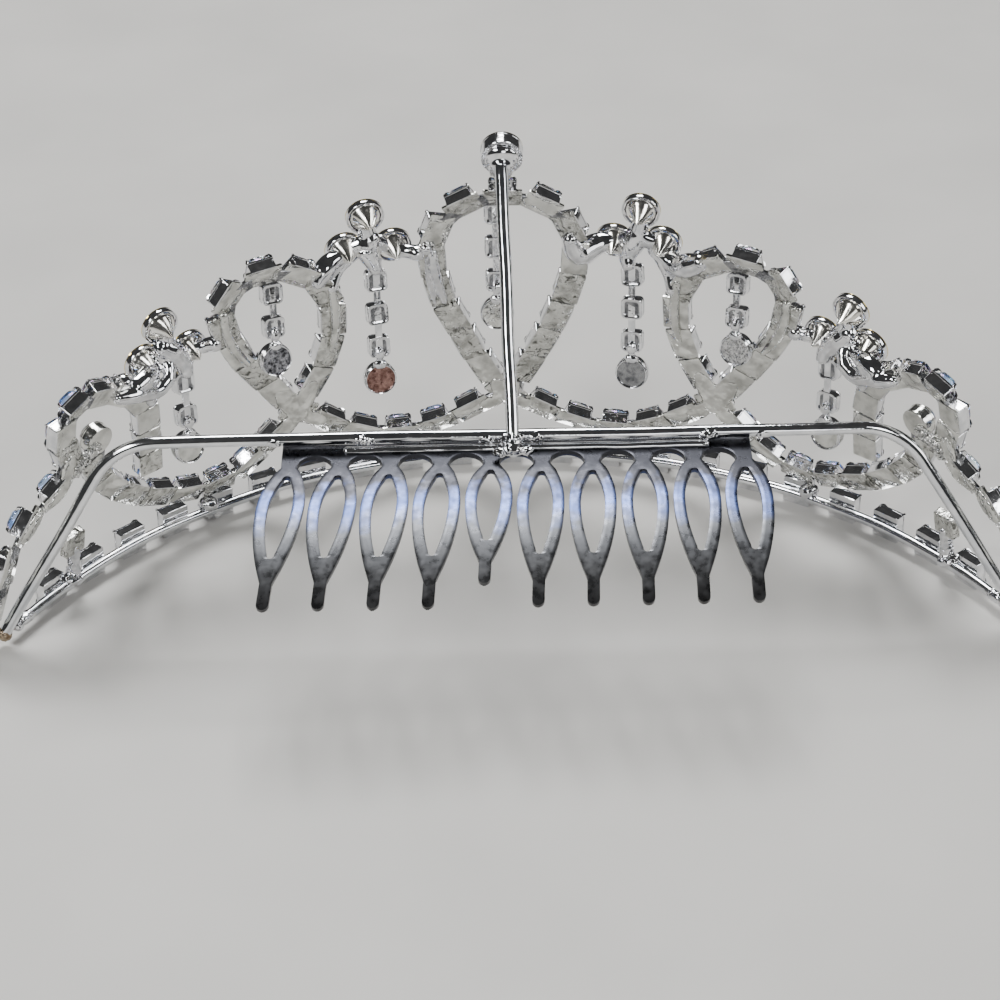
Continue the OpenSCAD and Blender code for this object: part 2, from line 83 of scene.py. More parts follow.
# Stations along each run of cups, [s, h], and n where the run leaves the front
stations = {
    "centrePear": [[0, 9.6], [1.85, 12.3], [3.85, 16.1], [5.8, 20.3], [7.5, 24.7], [8.4, 29],
                   [8.2, 32.4], [6.6, 35], [3.6, 36.7], [0, 37.3]],
    "innerScallop": [[0, 9.6], [3.1, 7.7], [5.5, 6.4], [8.1, 5.3], [11, 4.75], [13.7, 4.75],
                     [16.6, 5.6], [19.5, 7.2], [22.1, 9.1], [24.5, 10.7]],
    "sidePear": [[24.5, 10.7], [27.2, 14.5], [29.9, 18.2], [32.3, 21.9], [33.9, 25.6], [34, 28.4],
                 [32.4, 30.5], [29.5, 31.2], [26.3, 30.8], [23.4, 29.3], [21.3, 26.8], [20.4, 24],
                 [20.4, 21.1], [21.2, 17.8], [22.6, 14.4], [24.5, 10.7]],
    "outerScallop": [[24.5, 10.7], [26.9, 8.2], [29.3, 5.7], [32, 4], [35.5, 3.4], [39.6, 4.4],
                     [44, 6.5], [47.9, 9.6], [50.3, 12.6], [51.5, 15.2], [50.9, 17.8]],
    "curl": [[43.4, 11], [43.5, 13], [43.7, 15.2], [44, 17.6], [44.9, 19.8], [46.5, 21.6],
             [49.1, 23.1], [51.9, 23.9], [54.4, 23.7], [56, 22.6], [56.2, 20.7], [55.4, 18.3]],
    "tail": [[55.4, 18.3], [55.6, 15.4, 0.1], [57.4, 14.1, 0.1], [59.7, 13.4, 0.2], [62, 11.5, 0.4],
             [63.8, 8.4, 0.7], [65, 3.6, 1.1]],
}
stations = {name: np.array([(row + [0])[:3] for row in table], float) for name, table in stations.items()}


def turnAbout(axis, degrees):
    # Rotation matrices about x (0) or z (2), one for each angle
    a = np.radians(np.atleast_1d(np.asarray(degrees, float)))
    i, j = ((1, 2), (2, 0), (0, 1))[axis]
    m = np.zeros((len(a), 3, 3))
    m[:, axis, axis] = 1
    m[:, i, i] = m[:, j, j] = np.cos(a)
    m[:, i, j] = -np.sin(a)
    m[:, j, i] = np.sin(a)
    return m


def frontPoint(p):
    # A cone: the angle is s over the band's radius, and the radius shrinks as h climbs the lean
    p = np.asarray(p, float)
    lean = math.radians(crown["lean"])
    angle = p[..., 0] / crown["bandRadius"]
    radius = crown["bandRadius"] + p[..., 2] * math.cos(lean) - p[..., 1] * math.sin(lean)
    height = p[..., 1] * math.cos(lean) + p[..., 2] * math.sin(lean)
    return np.stack([radius * np.sin(angle), -radius * np.cos(angle), height], -1) + crown["middle"]


def frontFrames(rows):
    # Origins and axes of rows [s, h, n, turn]: x along the band, y up the front, z out of it
    rows = np.atleast_2d(np.asarray(rows, float))
    around = turnAbout(2, np.degrees(rows[:, 0] / crown["bandRadius"]))
    return frontPoint(rows[:, :3]), around @ turnAbout(0, 90 - crown["lean"]) @ turnAbout(2, rows[:, 3])


def bandFrames(s, n):
    # Upright on the base wire, with the back n mm in front of its middle line
    around = turnAbout(2, np.degrees(np.atleast_1d(s) / crown["bandRadius"]))
    out = np.array([0, -crown["bandRadius"] - n, 0])
    return around @ out + crown["middle"], around @ turnAbout(0, 90)


def smoothLine(table, t):
    # Catmull-Rom: at t stations from the start, a cubic through the two nearest stations
    last = len(table) - 1
    t = np.asarray(t, float)
    i = np.minimum(np.floor(t).astype(int), last - 1)
    u = (t - i)[..., None]
    a, b, c, d = (table[np.clip(i + k, 0, last)] for k in (-1, 0, 1, 2))
    return b + 0.5 * u * ((c - a) + u * ((2 * a - 5 * b + 4 * c - d) + u * (3 * b - a - 3 * c + d)))


def headings(step, height):
    # Turn of a step on the front; steps along s are shorter higher up the cone
    shorter = 1 - height * math.sin(math.radians(crown["lean"])) / crown["bandRadius"]
    return np.degrees(np.arctan2(step[..., 1], step[..., 0] * shorter))


def rowsAt(table, t):
    # Places on the smooth line, each with the turn of a short step on from it
    here = smoothLine(table, t)
    step = smoothLine(table, np.asarray(t) + 0.01) - here
    return np.concatenate([here, headings(step, here[..., 1])[..., None]], -1)


def evenRows(table, count, free=(1, 1)):
    # Rows spaced evenly by distance, with a share of a pitch left free at each end
    t = np.arange((len(table) - 1) * 8 + 1) / 8
    legs = np.linalg.norm(np.diff(frontPoint(smoothLine(table, t)), axis=0), axis=1)
    far = np.concatenate([[0], np.cumsum(legs)])
    pitch = far[-1] / (count - 1 + sum(free))
    return rowsAt(table, np.interp(pitch * (np.arange(count) + free[0]), far, t))


# Rows of each run; the first two are the turned cups where runs cross
middleRow = np.array([[0, 9.6, 0, 45.0]])
sideRow = np.array([[24.5, 10.7, 0, 25.0]])
halfPear = stations["centrePear"]
pearRows = evenRows(np.concatenate([halfPear, halfPear[-2::-1] * [-1, 1, 1]]), 15)
innerRows = evenRows(stations["innerScallop"], 5)
sideRows = evenRows(stations["sidePear"], 11)
outerRows = evenRows(stations["outerScallop"], 8)
endRow = rowsAt(stations["outerScallop"], [len(stations["outerScallop"]) - 1])
curlRows = evenRows(stations["curl"], 9, (0, 0))
tailRows = evenRows(stations["tail"], 4, (1, 0))
otherInner = innerRows * [-1, 1, 1, -1] + [0, 0, 0, 180]

# Shapes are pairs of points in mm and a list of face arrays


def gridFaces(rows, cols, wrap=True):
    # Quads of a grid of rows and columns; with wrap, the last column joins the first
    i = np.arange(rows - 1)[:, None]
    j = np.arange(cols if wrap else cols - 1)[None]
    k = (j + 1) % cols
    return np.stack([i * cols + j, i * cols + k, (i + 1) * cols + k, (i + 1) * cols + j], -1).reshape(-1, 4)


def roundedSquare(corner, steps=4):
    # Unit half width, each corner an arc of the given radius, run anticlockwise
    turns = np.radians(np.linspace(0, 90, steps)[None] + 90 * np.arange(4)[:, None])
    centres = (1 - corner) * np.array([[1, 1], [-1, 1], [-1, -1], [1, -1]])[:, None]
    arc = np.stack([np.cos(turns), np.sin(turns)], -1)
    return (centres + corner * arc).reshape(-1, 2)


def ringOutline(sides):
    # A unit circle, run anticlockwise
    a = 2 * np.pi * np.arange(sides) / sides
    return np.stack([np.cos(a), np.sin(a)], -1)


def lathed(outline, profile):
    # A flat outline scaled by each profile row [scale, z] and stacked up
    profile = np.asarray(profile, float)
    flat = outline[None] * profile[:, None, :1]
    height = np.broadcast_to(profile[:, None, 1:], flat.shape[:2] + (1,))
    return np.concatenate([flat, height], -1).reshape(-1, 3), [gridFaces(len(profile), len(outline))]


def turned(sides, half, profile):
    # A round piece turned to a profile of rows [inset from its half width, z]
    rows = np.array(profile, float)
    return lathed(ringOutline(sides), np.stack([half - rows[:, 0], rows[:, 1]], -1))


def unit(v):
    # Each vector over its own length
    return v / np.maximum(np.linalg.norm(v, axis=-1, keepdims=True), 1e-9)


def tube(path, radius, sides=12, about=(0, 0, 1), flat=1.0):
    # A circle carried square to a path, with a half ball at each end; flat squeezes it along about
    path = np.asarray(path, float)
    radius = np.broadcast_to(np.asarray(radius, float), len(path))
    tangent = unit(np.gradient(path, axis=0))
    cap = np.radians([0, 25, 50, 72])
    before = path[:1] - tangent[:1] * radius[0] * np.cos(cap)[:, None]
    after = path[-1:] + tangent[-1:] * radius[-1] * np.cos(cap[::-1])[:, None]
    line = np.concatenate([before, path, after])
    wide = np.concatenate([radius[0] * np.sin(cap), radius, radius[-1] * np.sin(cap[::-1])])
    tangent = np.concatenate([np.repeat(tangent[:1], 4, 0), tangent, np.repeat(tangent[-1:], 4, 0)])
    a = unit(np.array(about) - tangent * (tangent @ np.array(about))[:, None])
    b = np.cross(tangent, a)
    turn = 2 * np.pi * np.arange(sides) / sides
    ring = a[:, None] * np.cos(turn)[None, :, None] * flat + b[:, None] * np.sin(turn)[None, :, None]
    points = line[:, None] + ring * wide[:, None, None]
    return points.reshape(-1, 3), [gridFaces(len(line), sides)]


def ball(centre, radii, axes=np.eye(3), sides=14, rings=8):
    # A circle lathed through a half turn, stretched to three radii along its axes
    a = np.linspace(0, np.pi, rings)
    points, faces = lathed(ringOutline(sides), np.stack([np.sin(a), -np.cos(a)], -1))
    return (points * np.array(radii)) @ np.asarray(axes).T + np.array(centre), faces


def joined(*shapes):
    # One shape of many: each one's faces count on from the points before it
    starts = np.cumsum([0] + [len(s[0]) for s in shapes[:-1]])
    faces = [f + first for s, first in zip(shapes, starts) for f in s[1]]
    return np.concatenate([s[0] for s in shapes]), faces


def placed(shape, origins, axes, scales=None):
    # Copies of one shape, each scaled, turned and moved to its own frame
    points, faces = shape
    origins = np.atleast_2d(origins)
    sized = points[None] * (1 if scales is None else np.asarray(scales)[:, None])
    there = np.einsum("kij,kvj->kvi", axes, np.broadcast_to(sized, (len(origins),) + points.shape))
    first = (np.arange(len(origins)) * len(points))[:, None, None]
    copies = [(f[None] + first).reshape(-1, f.shape[1]) for f in faces]
    return (there + origins[:, None]).reshape(-1, 3), copies


def waves(points, size, seed):
    # Smooth noise from -1 to 1: seven sine waves in seeded directions, about size mm long
    rng = np.random.default_rng(seed)
    ways = unit(rng.normal(size=(7, 3))) * rng.uniform(0.7, 1.6, (7, 1)) * 2 * np.pi / size
    return np.sin(points @ ways.T + rng.uniform(0, 6.28, 7)).sum(-1) / 3.2


def rawObject(name, points, faces):
    # A mesh object at the origin, from points in mm
    mesh = bpy.data.meshes.new(name)
    mesh.from_pydata((points * mm).tolist(), [], [row for f in faces for row in f.tolist()])
    made = bpy.data.objects.new(name, mesh)
    bpy.context.scene.collection.objects.link(made)
    return made


def meshArray(source, attribute, width):
    # One attribute of a mesh's points, corners or faces, as rows of the given width
    values = np.empty(len(source) * width, np.float32)
    source.foreach_get(attribute, values)
    return values.reshape(-1, width).astype(float)


def finishedMesh(made):
    # An object's points in mm, normals and faces, sorted by their sides, after its modifiers
    done = made.evaluated_get(bpy.context.evaluated_depsgraph_get()).to_mesh()
    points = meshArray(done.vertices, "co", 3) / mm
    normals = meshArray(done.vertices, "normal", 3)
    sides = meshArray(done.polygons, "loop_total", 1)[:, 0].astype(int)
    corners = meshArray(done.loops, "vertex_index", 1)[:, 0].astype(int)
    starts = np.cumsum(sides) - sides
    faces = [corners[starts[sides == n][:, None] + np.arange(n)] for n in np.unique(sides)]
    bpy.data.objects.remove(made)
    return points, normals, faces


def melted(shapes, voxel, flow, rough, grain, seed):
    # Overlapping lumps get one skin of small cubes' faces, which is smoothed as solder flows
    # and then moved along its normals by up to rough mm of seeded waves about grain mm long
    made = rawObject("melt", *joined(*shapes))
    skin = made.modifiers.new("skin", "REMESH")
    skin.mode = "VOXEL"
    skin.voxel_size = voxel * mm
    smooth = made.modifiers.new("flow", "SMOOTH")
    smooth.factor = 0.5
    smooth.iterations = flow
    points, normals, faces = finishedMesh(made)
    lumps = waves(points, grain, seed) + 0.6 * waves(points, grain * 0.45, seed + 50)
    return points + normals * (rough * lumps)[:, None], faces


def mergePoints(mesh, reach, agree=False):
    # Points that lie within reach metres become one, and agree turns the faces to one side
    work = bmesh.new()
    work.from_mesh(mesh)
    bmesh.ops.remove_doubles(work, verts=work.verts, dist=reach)
    if agree:
        bmesh.ops.recalc_face_normals(work, faces=work.faces)
    work.to_mesh(mesh)
    work.free()


def part(shape, material, smooth=True):
    # A shape with its material's name, shaded smooth or flat
    return {"points": shape[0], "faces": shape[1], "material": material, "smooth": smooth}


def makePiece(name, node, parts):
    # Joins the parts, closes seams and poles, and hands the piece to the frame
    points, faces = joined(*[(p["points"], p["faces"]) for p in parts])
    names = sorted({p["material"] for p in parts})
    slots = [np.full(len(f), names.index(p["material"])) for p in parts for f in p["faces"]]
    smooth = [np.full(len(f), p["smooth"]) for p in parts for f in p["faces"]]
    piece = rawObject(name, points, faces)
    piece.data.polygons.foreach_set("material_index", np.concatenate(slots).astype(np.int32))
    piece.data.polygons.foreach_set("use_smooth", np.concatenate(smooth))
    for n in names:
        piece.data.materials.append(materials[n])
    mergePoints(piece.data, 2e-7)
    piece.data.set_sharp_from_angle(angle=math.radians(38))
    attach(piece, "root")
    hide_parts(node)


def makePair(name, node, parts, stones, flip=False):
    # A piece of metal and its stones; flip mirrors both through the crown's middle, and turns
    # each face round again
    for p in parts + stones if flip else []:
        p["points"] = p["points"] * [-1, 1, 1]
        p["faces"] = [f[:, ::-1] for f in p["faces"]]
    makePiece(name, node, parts)
    makePiece(name + "Stones", node + "_stones", stones)


# Materials


def fromHex(code):
    # An sRGB hex value turned to linear light
    c = np.array([int(code[k:k + 2], 16) for k in (1, 3, 5)]) / 255
    return (*np.where(c <= 0.04045, c / 12.92, ((c + 0.055) / 1.055) ** 2.4).tolist(), 1.0)


def addNode(tree, kind, settings=(), links=()):
    # One node, with its settings by name or socket, and the outputs linked into it
    node = tree.nodes.new(kind)
    for key, value in dict(settings).items():
        if isinstance(key, int) or key in node.inputs:
            node.inputs[key].default_value = value
        else:
            setattr(node, key, value)
    for key, output in dict(links).items():
        tree.links.new(output, node.inputs[key])
    return node


def startMaterial(name, settings):
    # A new material with its shader's own values set: itself, its tree, shader and coordinates
    made = bpy.data.materials.new(name)
    made.use_nodes = True
    tree = made.node_tree
    shader = tree.nodes["Principled BSDF"]
    for key, value in settings.items():
        shader.inputs[key].default_value = value
    place = addNode(tree, "ShaderNodeTexCoord").outputs["Object"]
    return made, tree, shader, place


def frequency(size):
    # Noise repeats about once in a unit of its scale, and the units here are metres
    return 1 / (size * mm)


def metal(name, light, dark, gloss, patch, bump, warp=0.0, creaseShade=""):
    # A plated or melted metal: colour drifts in patches of patch mm and gloss between two
    # roughnesses. Its skin rolls by bump's size and depth in mm, warp bends that into wrinkles,
    # and a darker colour, given as the last argument, is painted as shade where the skin is lowest
    made, tree, shader, place = startMaterial(name, {"Metallic": 1.0})
    cloud = addNode(tree, "ShaderNodeTexNoise", {"Scale": frequency(patch), "Detail": 3.0},
                    {"Vector": place})
    spread = addNode(tree, "ShaderNodeMapRange", {1: 0.42, 2: 0.68}, {0: cloud.outputs[0]})
    tint = addNode(tree, "ShaderNodeMix", {"data_type": "RGBA", 6: fromHex(light), 7: fromHex(dark)},
                   {0: spread.outputs[0]})
    size, depth = bump
    skin = addNode(tree, "ShaderNodeTexNoise", {"Scale": frequency(size), "Detail": 2.5, "Distortion": warp},
                   {"Vector": place})
    # Painted shade: a darker colour is laid on the lowest parts of the skin, in its hollows
    if creaseShade:
        low = addNode(tree, "ShaderNodeMapRange", {1: 0.43, 2: 0.33}, {0: skin.outputs[0]})
        tint = addNode(tree, "ShaderNodeMix", {"data_type": "RGBA", 7: fromHex(creaseShade)},
                       {0: low.outputs[0], 6: tint.outputs[2]})
    tree.links.new(tint.outputs[2], shader.inputs["Base Color"])
    speck = addNode(tree, "ShaderNodeTexNoise", {"Scale": frequency(patch / 3), "Detail": 4.0},
                    {"Vector": place})
    shine = addNode(tree, "ShaderNodeMapRange", {1: 0.35, 2: 0.7, 3: gloss[0], 4: gloss[1]},
                    {0: speck.outputs[0]})
    tree.links.new(shine.outputs[0], shader.inputs["Roughness"])
    relief = addNode(tree, "ShaderNodeBump", {"Strength": 1.0, "Distance": depth * mm},
                     {"Height": skin.outputs[0]})
    tree.links.new(relief.outputs[0], shader.inputs["Normal"])
    return made


def crystal():
    # Lead crystal, pressed and tumbled, with a thin vapour coat: clear, with a blue tint painted in patches
    # of it as the coat's blue reflection
    made, tree, shader, place = startMaterial("coatedCrystal", {
        "Transmission Weight": 1.0, "IOR": 1.56, "Roughness": 0.01,
        "Thin Film Thickness": 330.0, "Thin Film IOR": 1.8})
    cloud = addNode(tree, "ShaderNodeTexNoise", {"Scale": frequency(2.2), "Detail": 1.0},
                    {"Vector": place})
    spread = addNode(tree, "ShaderNodeMapRange", {1: 0.46, 2: 0.6}, {0: cloud.outputs[0]})
    # Painted reflection: a blue tint in patches
    tint = addNode(tree, "ShaderNodeMix",
                   {"data_type": "RGBA", 6: fromHex("#f4f8ff"), 7: fromHex("#86adf7")},
                   {0: spread.outputs[0]})
    tree.links.new(tint.outputs[2], shader.inputs["Base Color"])
    return made


def paintedReflectionSteel(foot, top):
    # Stamped spring steel, tumbled to a satin. Its colour is painted reflection, graded by height:
    # dark at the tips and at the bar, lighter between, with a painted blue reflection just below the bar;
    # foot and top are the comb's heights
    made, tree, shader, place = startMaterial("stampedSteelPaintedReflection", {"Metallic": 1.0})
    height = addNode(tree, "ShaderNodeSeparateXYZ", {}, {0: place}).outputs[2]
    along = addNode(tree, "ShaderNodeMapRange", {1: foot * mm, 2: top * mm}, {0: height}).outputs[0]
    cloud = addNode(tree, "ShaderNodeTexNoise", {"Scale": frequency(2.5), "Detail": 3.0},
                    {"Vector": place})
    shift = addNode(tree, "ShaderNodeMath", {"operation": "MULTIPLY_ADD", 1: 0.2},
                    {0: cloud.outputs[0], 2: along})
    ramp = addNode(tree, "ShaderNodeValToRGB", {}, {0: shift.outputs[0]})
    # Painted reflection by height: dark tips, light middle, blue reflection near the bar, dark bar
    paintedReflectionStops = ((0.14, "#322f2d"), (0.36, "#4a4a4b"), (0.54, "#606163"), (0.78, "#626468"),
               (0.88, "#52608c"), (0.96, "#393a3f"))
    stops = ramp.color_ramp.elements
    stops.remove(stops[1])
    stops[0].position = paintedReflectionStops[0][0]
    stops[0].color = fromHex(paintedReflectionStops[0][1])
    for position, colour in paintedReflectionStops[1:]:
        stops.new(position).color = fromHex(colour)
    tree.links.new(ramp.outputs[0], shader.inputs["Base Color"])
    fine = addNode(tree, "ShaderNodeMapping", {"Scale": (1.6, 1.6, 1.0)}, {"Vector": place})
    grain = addNode(tree, "ShaderNodeTexNoise", {"Scale": frequency(1.4), "Detail": 3.0},
                    {"Vector": fine.outputs[0]})
    shine = addNode(tree, "ShaderNodeMapRange", {1: 0.3, 2: 0.7, 3: 0.22, 4: 0.4}, {0: grain.outputs[0]})
    tree.links.new(shine.outputs[0], shader.inputs["Roughness"])
    relief = addNode(tree, "ShaderNodeBump", {"Strength": 1.0, "Distance": 0.008 * mm},
                     {"Height": grain.outputs[0]})
    tree.links.new(relief.outputs[0], shader.inputs["Normal"])
    return made


materials = {
    # Rhodium over drawn brass wire: bright and hard, faintly uneven along its length
    "wire": metal("rhodiumWire", "#ecedef", "#cdd0d5", (0.05, 0.14), 3.0, (0.9, 0.012)),
    # Rhodium over stamped cups: bright faces with slight dents
    "cup": metal("rhodiumCup", "#ececee", "#cfd1d4", (0.05, 0.16), 1.2, (0.8, 0.03)),
    # The chain's backs, flooded with solder and plated over: pale, wrinkled where it froze, with painted
    # shade in the wrinkles' hollows
    "back": metal("wrinkledSolder", "#dcdcd7", "#a6a6a1", (0.1, 0.3), 1.0, (1.2, 0.26), 1.6, "#63635f"),
    # The same where it ran smooth
    "flooded": metal("floodedSolder", "#e6e6e1", "#bcbcb7", (0.08, 0.24), 1.4, (1.7, 0.14), 0.8),
    # Tin solder run on by hand and plated: lumps like mercury
    "solder": metal("brightSolder", "#ececee", "#d2d4d8", (0.02, 0.07), 1.0, (1.8, 0.02)),
    # Solder that froze as it was drawn off: grainy, with painted shade in the hollows of the grain
    "roughSolder": metal("grainySolder", "#e2e2de", "#a9aaa9", (0.1, 0.32), 0.6, (0.35, 0.12), 0.6,
                         "#5c5c5a"),
    # Solder scorched at the wire's feet: brownish
    "scorched": metal("scorchedSolder", "#b9a993", "#7d6a55", (0.18, 0.4), 0.6, (0.4, 0.05)),
    # Silver foil on a stone's back under clear lacquer
    "foil": metal("silverFoil", "#f6f4ee", "#dedbd2", (0.12, 0.2), 1.5, (0.9, 0.012)),
    # A thin gilt line at the edge of the foil
    "gilt": metal("giltLacquer", "#f0e0a6", "#cdb46c", (0.12, 0.22), 1.0, (0.4, 0.006)),
    # The grey, matter backs of the small cups
    "greyed": metal("greyedPlate", "#97989a", "#5e5f63", (0.18, 0.34), 0.7, (0.35, 0.03), 0.6),
    # Cup backs where the plating is thin and the base metal shows, with painted shade in the hollows of the
    # skin
    "copper": metal("thinCopper", "#a8857b", "#6c4e48", (0.26, 0.44), 0.7, (0.3, 0.05), 1.5, "#4d322c"),
    # Plating worn through in small dark spots, and plating left grainy by a spent bath; both have painted
    # shade in the hollows of the skin
    "mottled": metal("mottledPlate", "#a9aab0", "#2b2c30", (0.1, 0.3), 0.4, (0.3, 0.09), 1.0, "#141416"),
    "grainy": metal("grainyPlate", "#dcdcdc", "#8b8c8f", (0.16, 0.36), 0.35, (0.2, 0.07), 0.5, "#4f5052"),
    "steel": paintedReflectionSteel(12.6, 20.8),
    "crystal": crystal(),
}
print("tiara: materials are made")


# Cups and the plates of the chain
chain = {
    "corner": 0.14,  # radius of a cup's corners
    "plateWide": 2.78,
    "wideSpread": 0.05,  # how much the plates' widths vary
    "sunk": (0.01, 0.07),  # how far behind the cups' backs they lie, least and most
    "plateThick": 0.36,
    "seam": 0.1,
    "linkWide": 1.8,
    "linkThick": 0.4,
    "linkDeep": 0.12,  # how far in front of the cups' backs the links start
    "linkShort": 1.2,  # how much shorter a link is than the step between its cups
    "turn": 1.8,  # how far, in degrees, cups stand out of true
    "tilt": 1.4,
    "lookUp": 19.0,  # how far the cups of a level run look up
    "heart": 0.65,  # height in a cup about which it tilts
}


def cupShape(width, deep, corner, dish=0.0, outline=None, lip=0.05):
    # A profile run up the outside, over the rolled lip and down to the stone's seat
    half = width / 2
    wall = crown["cupWall"]
    seat = crown["seat"]
    if outline is None:
        outline = roundedSquare(corner / half)
    return lathed(outline, [[0, dish], [half - 0.5, dish], [half - 0.3, dish * 0.4], [half - 0.14, 0],
                            [half - 0.05, 0.0], [half, 0.05], [half, deep - 0.22],
                            [half + lip, deep - 0.19], [half + lip, deep - 0.06],
                            [half - 0.02, deep + 0.02], [half - wall + 0.03, deep],
                            [half - wall, deep - 0.08], [half - wall, seat], [0, seat]])


def clawedCup(width):
    # A square cup with its four claws
    deep = crown["cupDeep"]
    return joined(cupShape(width, deep, chain["corner"]), prongs(width, deep))


def prongs(width, deep):
    # Four claws at a cup's corners, bent in over the stone
    half = width / 2
    path = np.array([[half - 0.15, half - 0.15, deep - 0.4], [half - 0.12, half - 0.12, deep + 0.08],
                     [half - 0.22, half - 0.22, deep + 0.33], [half - 0.46, half - 0.46, deep + 0.46]])
    claw = tube(path, [0.19, 0.19, 0.17, 0.12], 6, (0, 0, 1))
    corners = turnAbout(2, [0, 90, 180, 270])
    return placed(claw, np.zeros((4, 3)), corners)


def plateShape():
    # A unit plate with eased edges, scaled later to its own length, width and thickness
    return lathed(roundedSquare(0.05, 2) * 0.5, [[0, 0], [0.955, 0], [1, 0.2], [1, 0.85], [0.97, 1], [0, 1]])


def wobble(axes, rng, amounts):
    # Small seeded turns about each axis, as hand-laid pieces have
    for axis, amount in enumerate(amounts):
        axes = axes @ turnAbout(axis, rng.normal(0, amount, len(axes)))
    return axes


def cellFrames(rows, upright, rng=None):
    # Cups tilt about their own run until they look up, most where it is level, but for the first
    # few, which stand upright at a crossing
    origins, axes = frontFrames(rows)
    look = -chain["lookUp"] * np.cos(np.radians(rows[:, 3]))
    look[:upright] = 0
    tilted = axes @ turnAbout(0, look)
    if rng is not None:
        tilted = wobble(tilted, rng, (chain["tilt"], chain["tilt"], chain["turn"]))
    heart = np.array([0, 0, chain["heart"]])
    return origins + axes @ heart - tilted @ heart, tilted


def chainParts(rows, links, upright, smoothShare, rng):
    # Cups with claws, one back plate on each cup that reaches half way to its neighbours, narrow
    # links under the seams, and the stones
    origins, axes = cellFrames(rows, upright, rng)
    first, last = links[:, 0], links[:, 1]
    distance = np.linalg.norm(frontPoint(first[:, :3]) - frontPoint(last[:, :3]), axis=1)
    ends = np.concatenate([first[:, :3], last[:, :3]])
    mine = np.linalg.norm(rows[:, None, :3] - ends[None], axis=-1) < 1e-6
    long = (mine * np.tile(distance, 2)).sum(1) / mine.sum(1)
    wide = chain["plateWide"] + rng.normal(0, chain["wideSpread"], len(rows))
    size = np.stack([long - chain["seam"], wide, np.full(len(rows), chain["plateThick"])], -1)
    low = origins - axes[:, :, 2] * rng.uniform(*chain["sunk"], len(rows))[:, None]
    smooth = rng.random(len(rows)) < smoothShare
    middle = (first + last) / 2
    middle[:, 3] = headings(last[:, :3] - first[:, :3], middle[:, 1])
    linkOrigins, linkAxes = cellFrames(middle, 0)
    same = np.ones(len(middle))
    linkLong = distance - chain["linkShort"]
    linkSize = np.stack([linkLong, same * chain["linkWide"], same * chain["linkThick"]], -1)
    linkOrigins = linkOrigins + linkAxes[:, :, 2] * chain["linkDeep"]
    made = [
        part(placed(clawedCup(crown["cup"]), origins, axes), "cup"),
        part(placed(plateShape(), linkOrigins, linkAxes, linkSize), "greyed"),
    ]
    for which, material in ((smooth, "flooded"), (~smooth, "back")):
        if which.any():
            made.append(part(placed(plateShape(), low[which], axes[which], size[which]), material))
    return made, squareStones(origins, axes, crown["cup"])


def pairsOf(*tables):
    # Each row of a run with the next one
    return np.concatenate([np.stack([rows[:-1], rows[1:]], 1) for rows in tables])


# Stones: rings of corners [odd, scale, z], where an odd ring is turned half a step


def cutCorners(cut):
    # A square with its corners cut: its eight corners, and the middles of its eight sides
    a = np.array([[1, cut - 1], [1, 1 - cut]])
    corners = np.concatenate([a @ turnAbout(2, 90 * k)[0, :2, :2].T for k in range(4)])
    return corners, (corners + np.roll(corners, -1, 0)) / 2


def roundCorners(sides):
    # A circle's corners, and those turned on by half a step
    a = 2 * np.pi * (np.arange(sides) + 0.5) / sides
    half = np.pi / sides
    return np.stack([np.cos(a), np.sin(a)], -1), np.stack([np.cos(a + half), np.sin(a + half)], -1)


def facets(outlines, rings):
    # Between rings of one kind run quads; between an even and an odd ring run triangles
    n = len(outlines[0])
    points = np.concatenate([np.column_stack([outlines[int(odd)] * scale, np.full(n, z)])
                             for odd, scale, z in rings])
    j = np.arange(n)
    k = (j + 1) % n
    faces = [j[None, ::-1].copy()]
    for level in range(len(rings) - 1):
        a, b = level * n, (level + 1) * n
        odd, nextOdd = rings[level][0], rings[level + 1][0]
        if odd == nextOdd:
            faces.append(np.stack([a + j, a + k, b + k, b + j], -1))
        elif nextOdd:
            faces.append(np.stack([a + j, a + k, b + j], -1))
            faces.append(np.stack([a + k, b + k, b + j], -1))
        else:
            faces.append(np.stack([a + j, a + k, b + k], -1))
            faces.append(np.stack([a + j, b + k, b + j], -1))
    faces.append((len(rings) - 1) * n + j[None])
    return points, faces


def stoneParts(outlines, lower, upper, origins, axes):
    # The foiled back below the widest line, and the clear crown above it
    n = len(outlines[0])
    points, faces = facets(outlines, lower + upper)
    top = (len(lower) - 1) * n
    back = [f for f in faces if f.min() < top]
    crownFaces = [f for f in faces if f.min() >= top]
    foiled = placed((points, back), origins, axes)
    clear = placed((points, crownFaces), origins, axes)
    return [part(foiled, "foil", False), part(clear, "crystal", False)]


def squareStones(origins, axes, width):
    # Eight sides: a square with its corners cut
    half = width / 2 - crown["cupWall"] - crown["gap"]
    lower = [(0, half * 0.35, 0.68), (1, half * 0.78, 1.05), (0, half, 1.42)]
    upper = [(0, half, 1.54), (1, half * 0.95, 1.82), (0, half * 0.78, 2.07), (1, half * 0.58, 2.2)]
    return stoneParts(cutCorners(0.3), lower, upper, origins, axes)


def roundStones(half, high, origins, axes, pointed=False):
    # Twelve sides; a pointed back reaches down to the culet
    if pointed:
        lower = [(0, half * 0.03, 0.0), (0, half * 0.82, 1.76), (1, half, 2.15)]
        upper = [(1, half, 2.35), (0, half * 0.93, 2.68), (1, half * 0.78, 3.0), (0, half * 0.6, 3.25)]
    else:
        lower = [(0, half * 0.4, 0.68), (1, half * 0.75, 1.05), (0, half, 1.45)]
        upper = [(0, half, 1.55), (1, half * 0.92, high - 0.4), (0, half * 0.76, high - 0.15),
                 (1, half * 0.58, high)]
    return stoneParts(roundCorners(12), lower, upper, origins, axes)


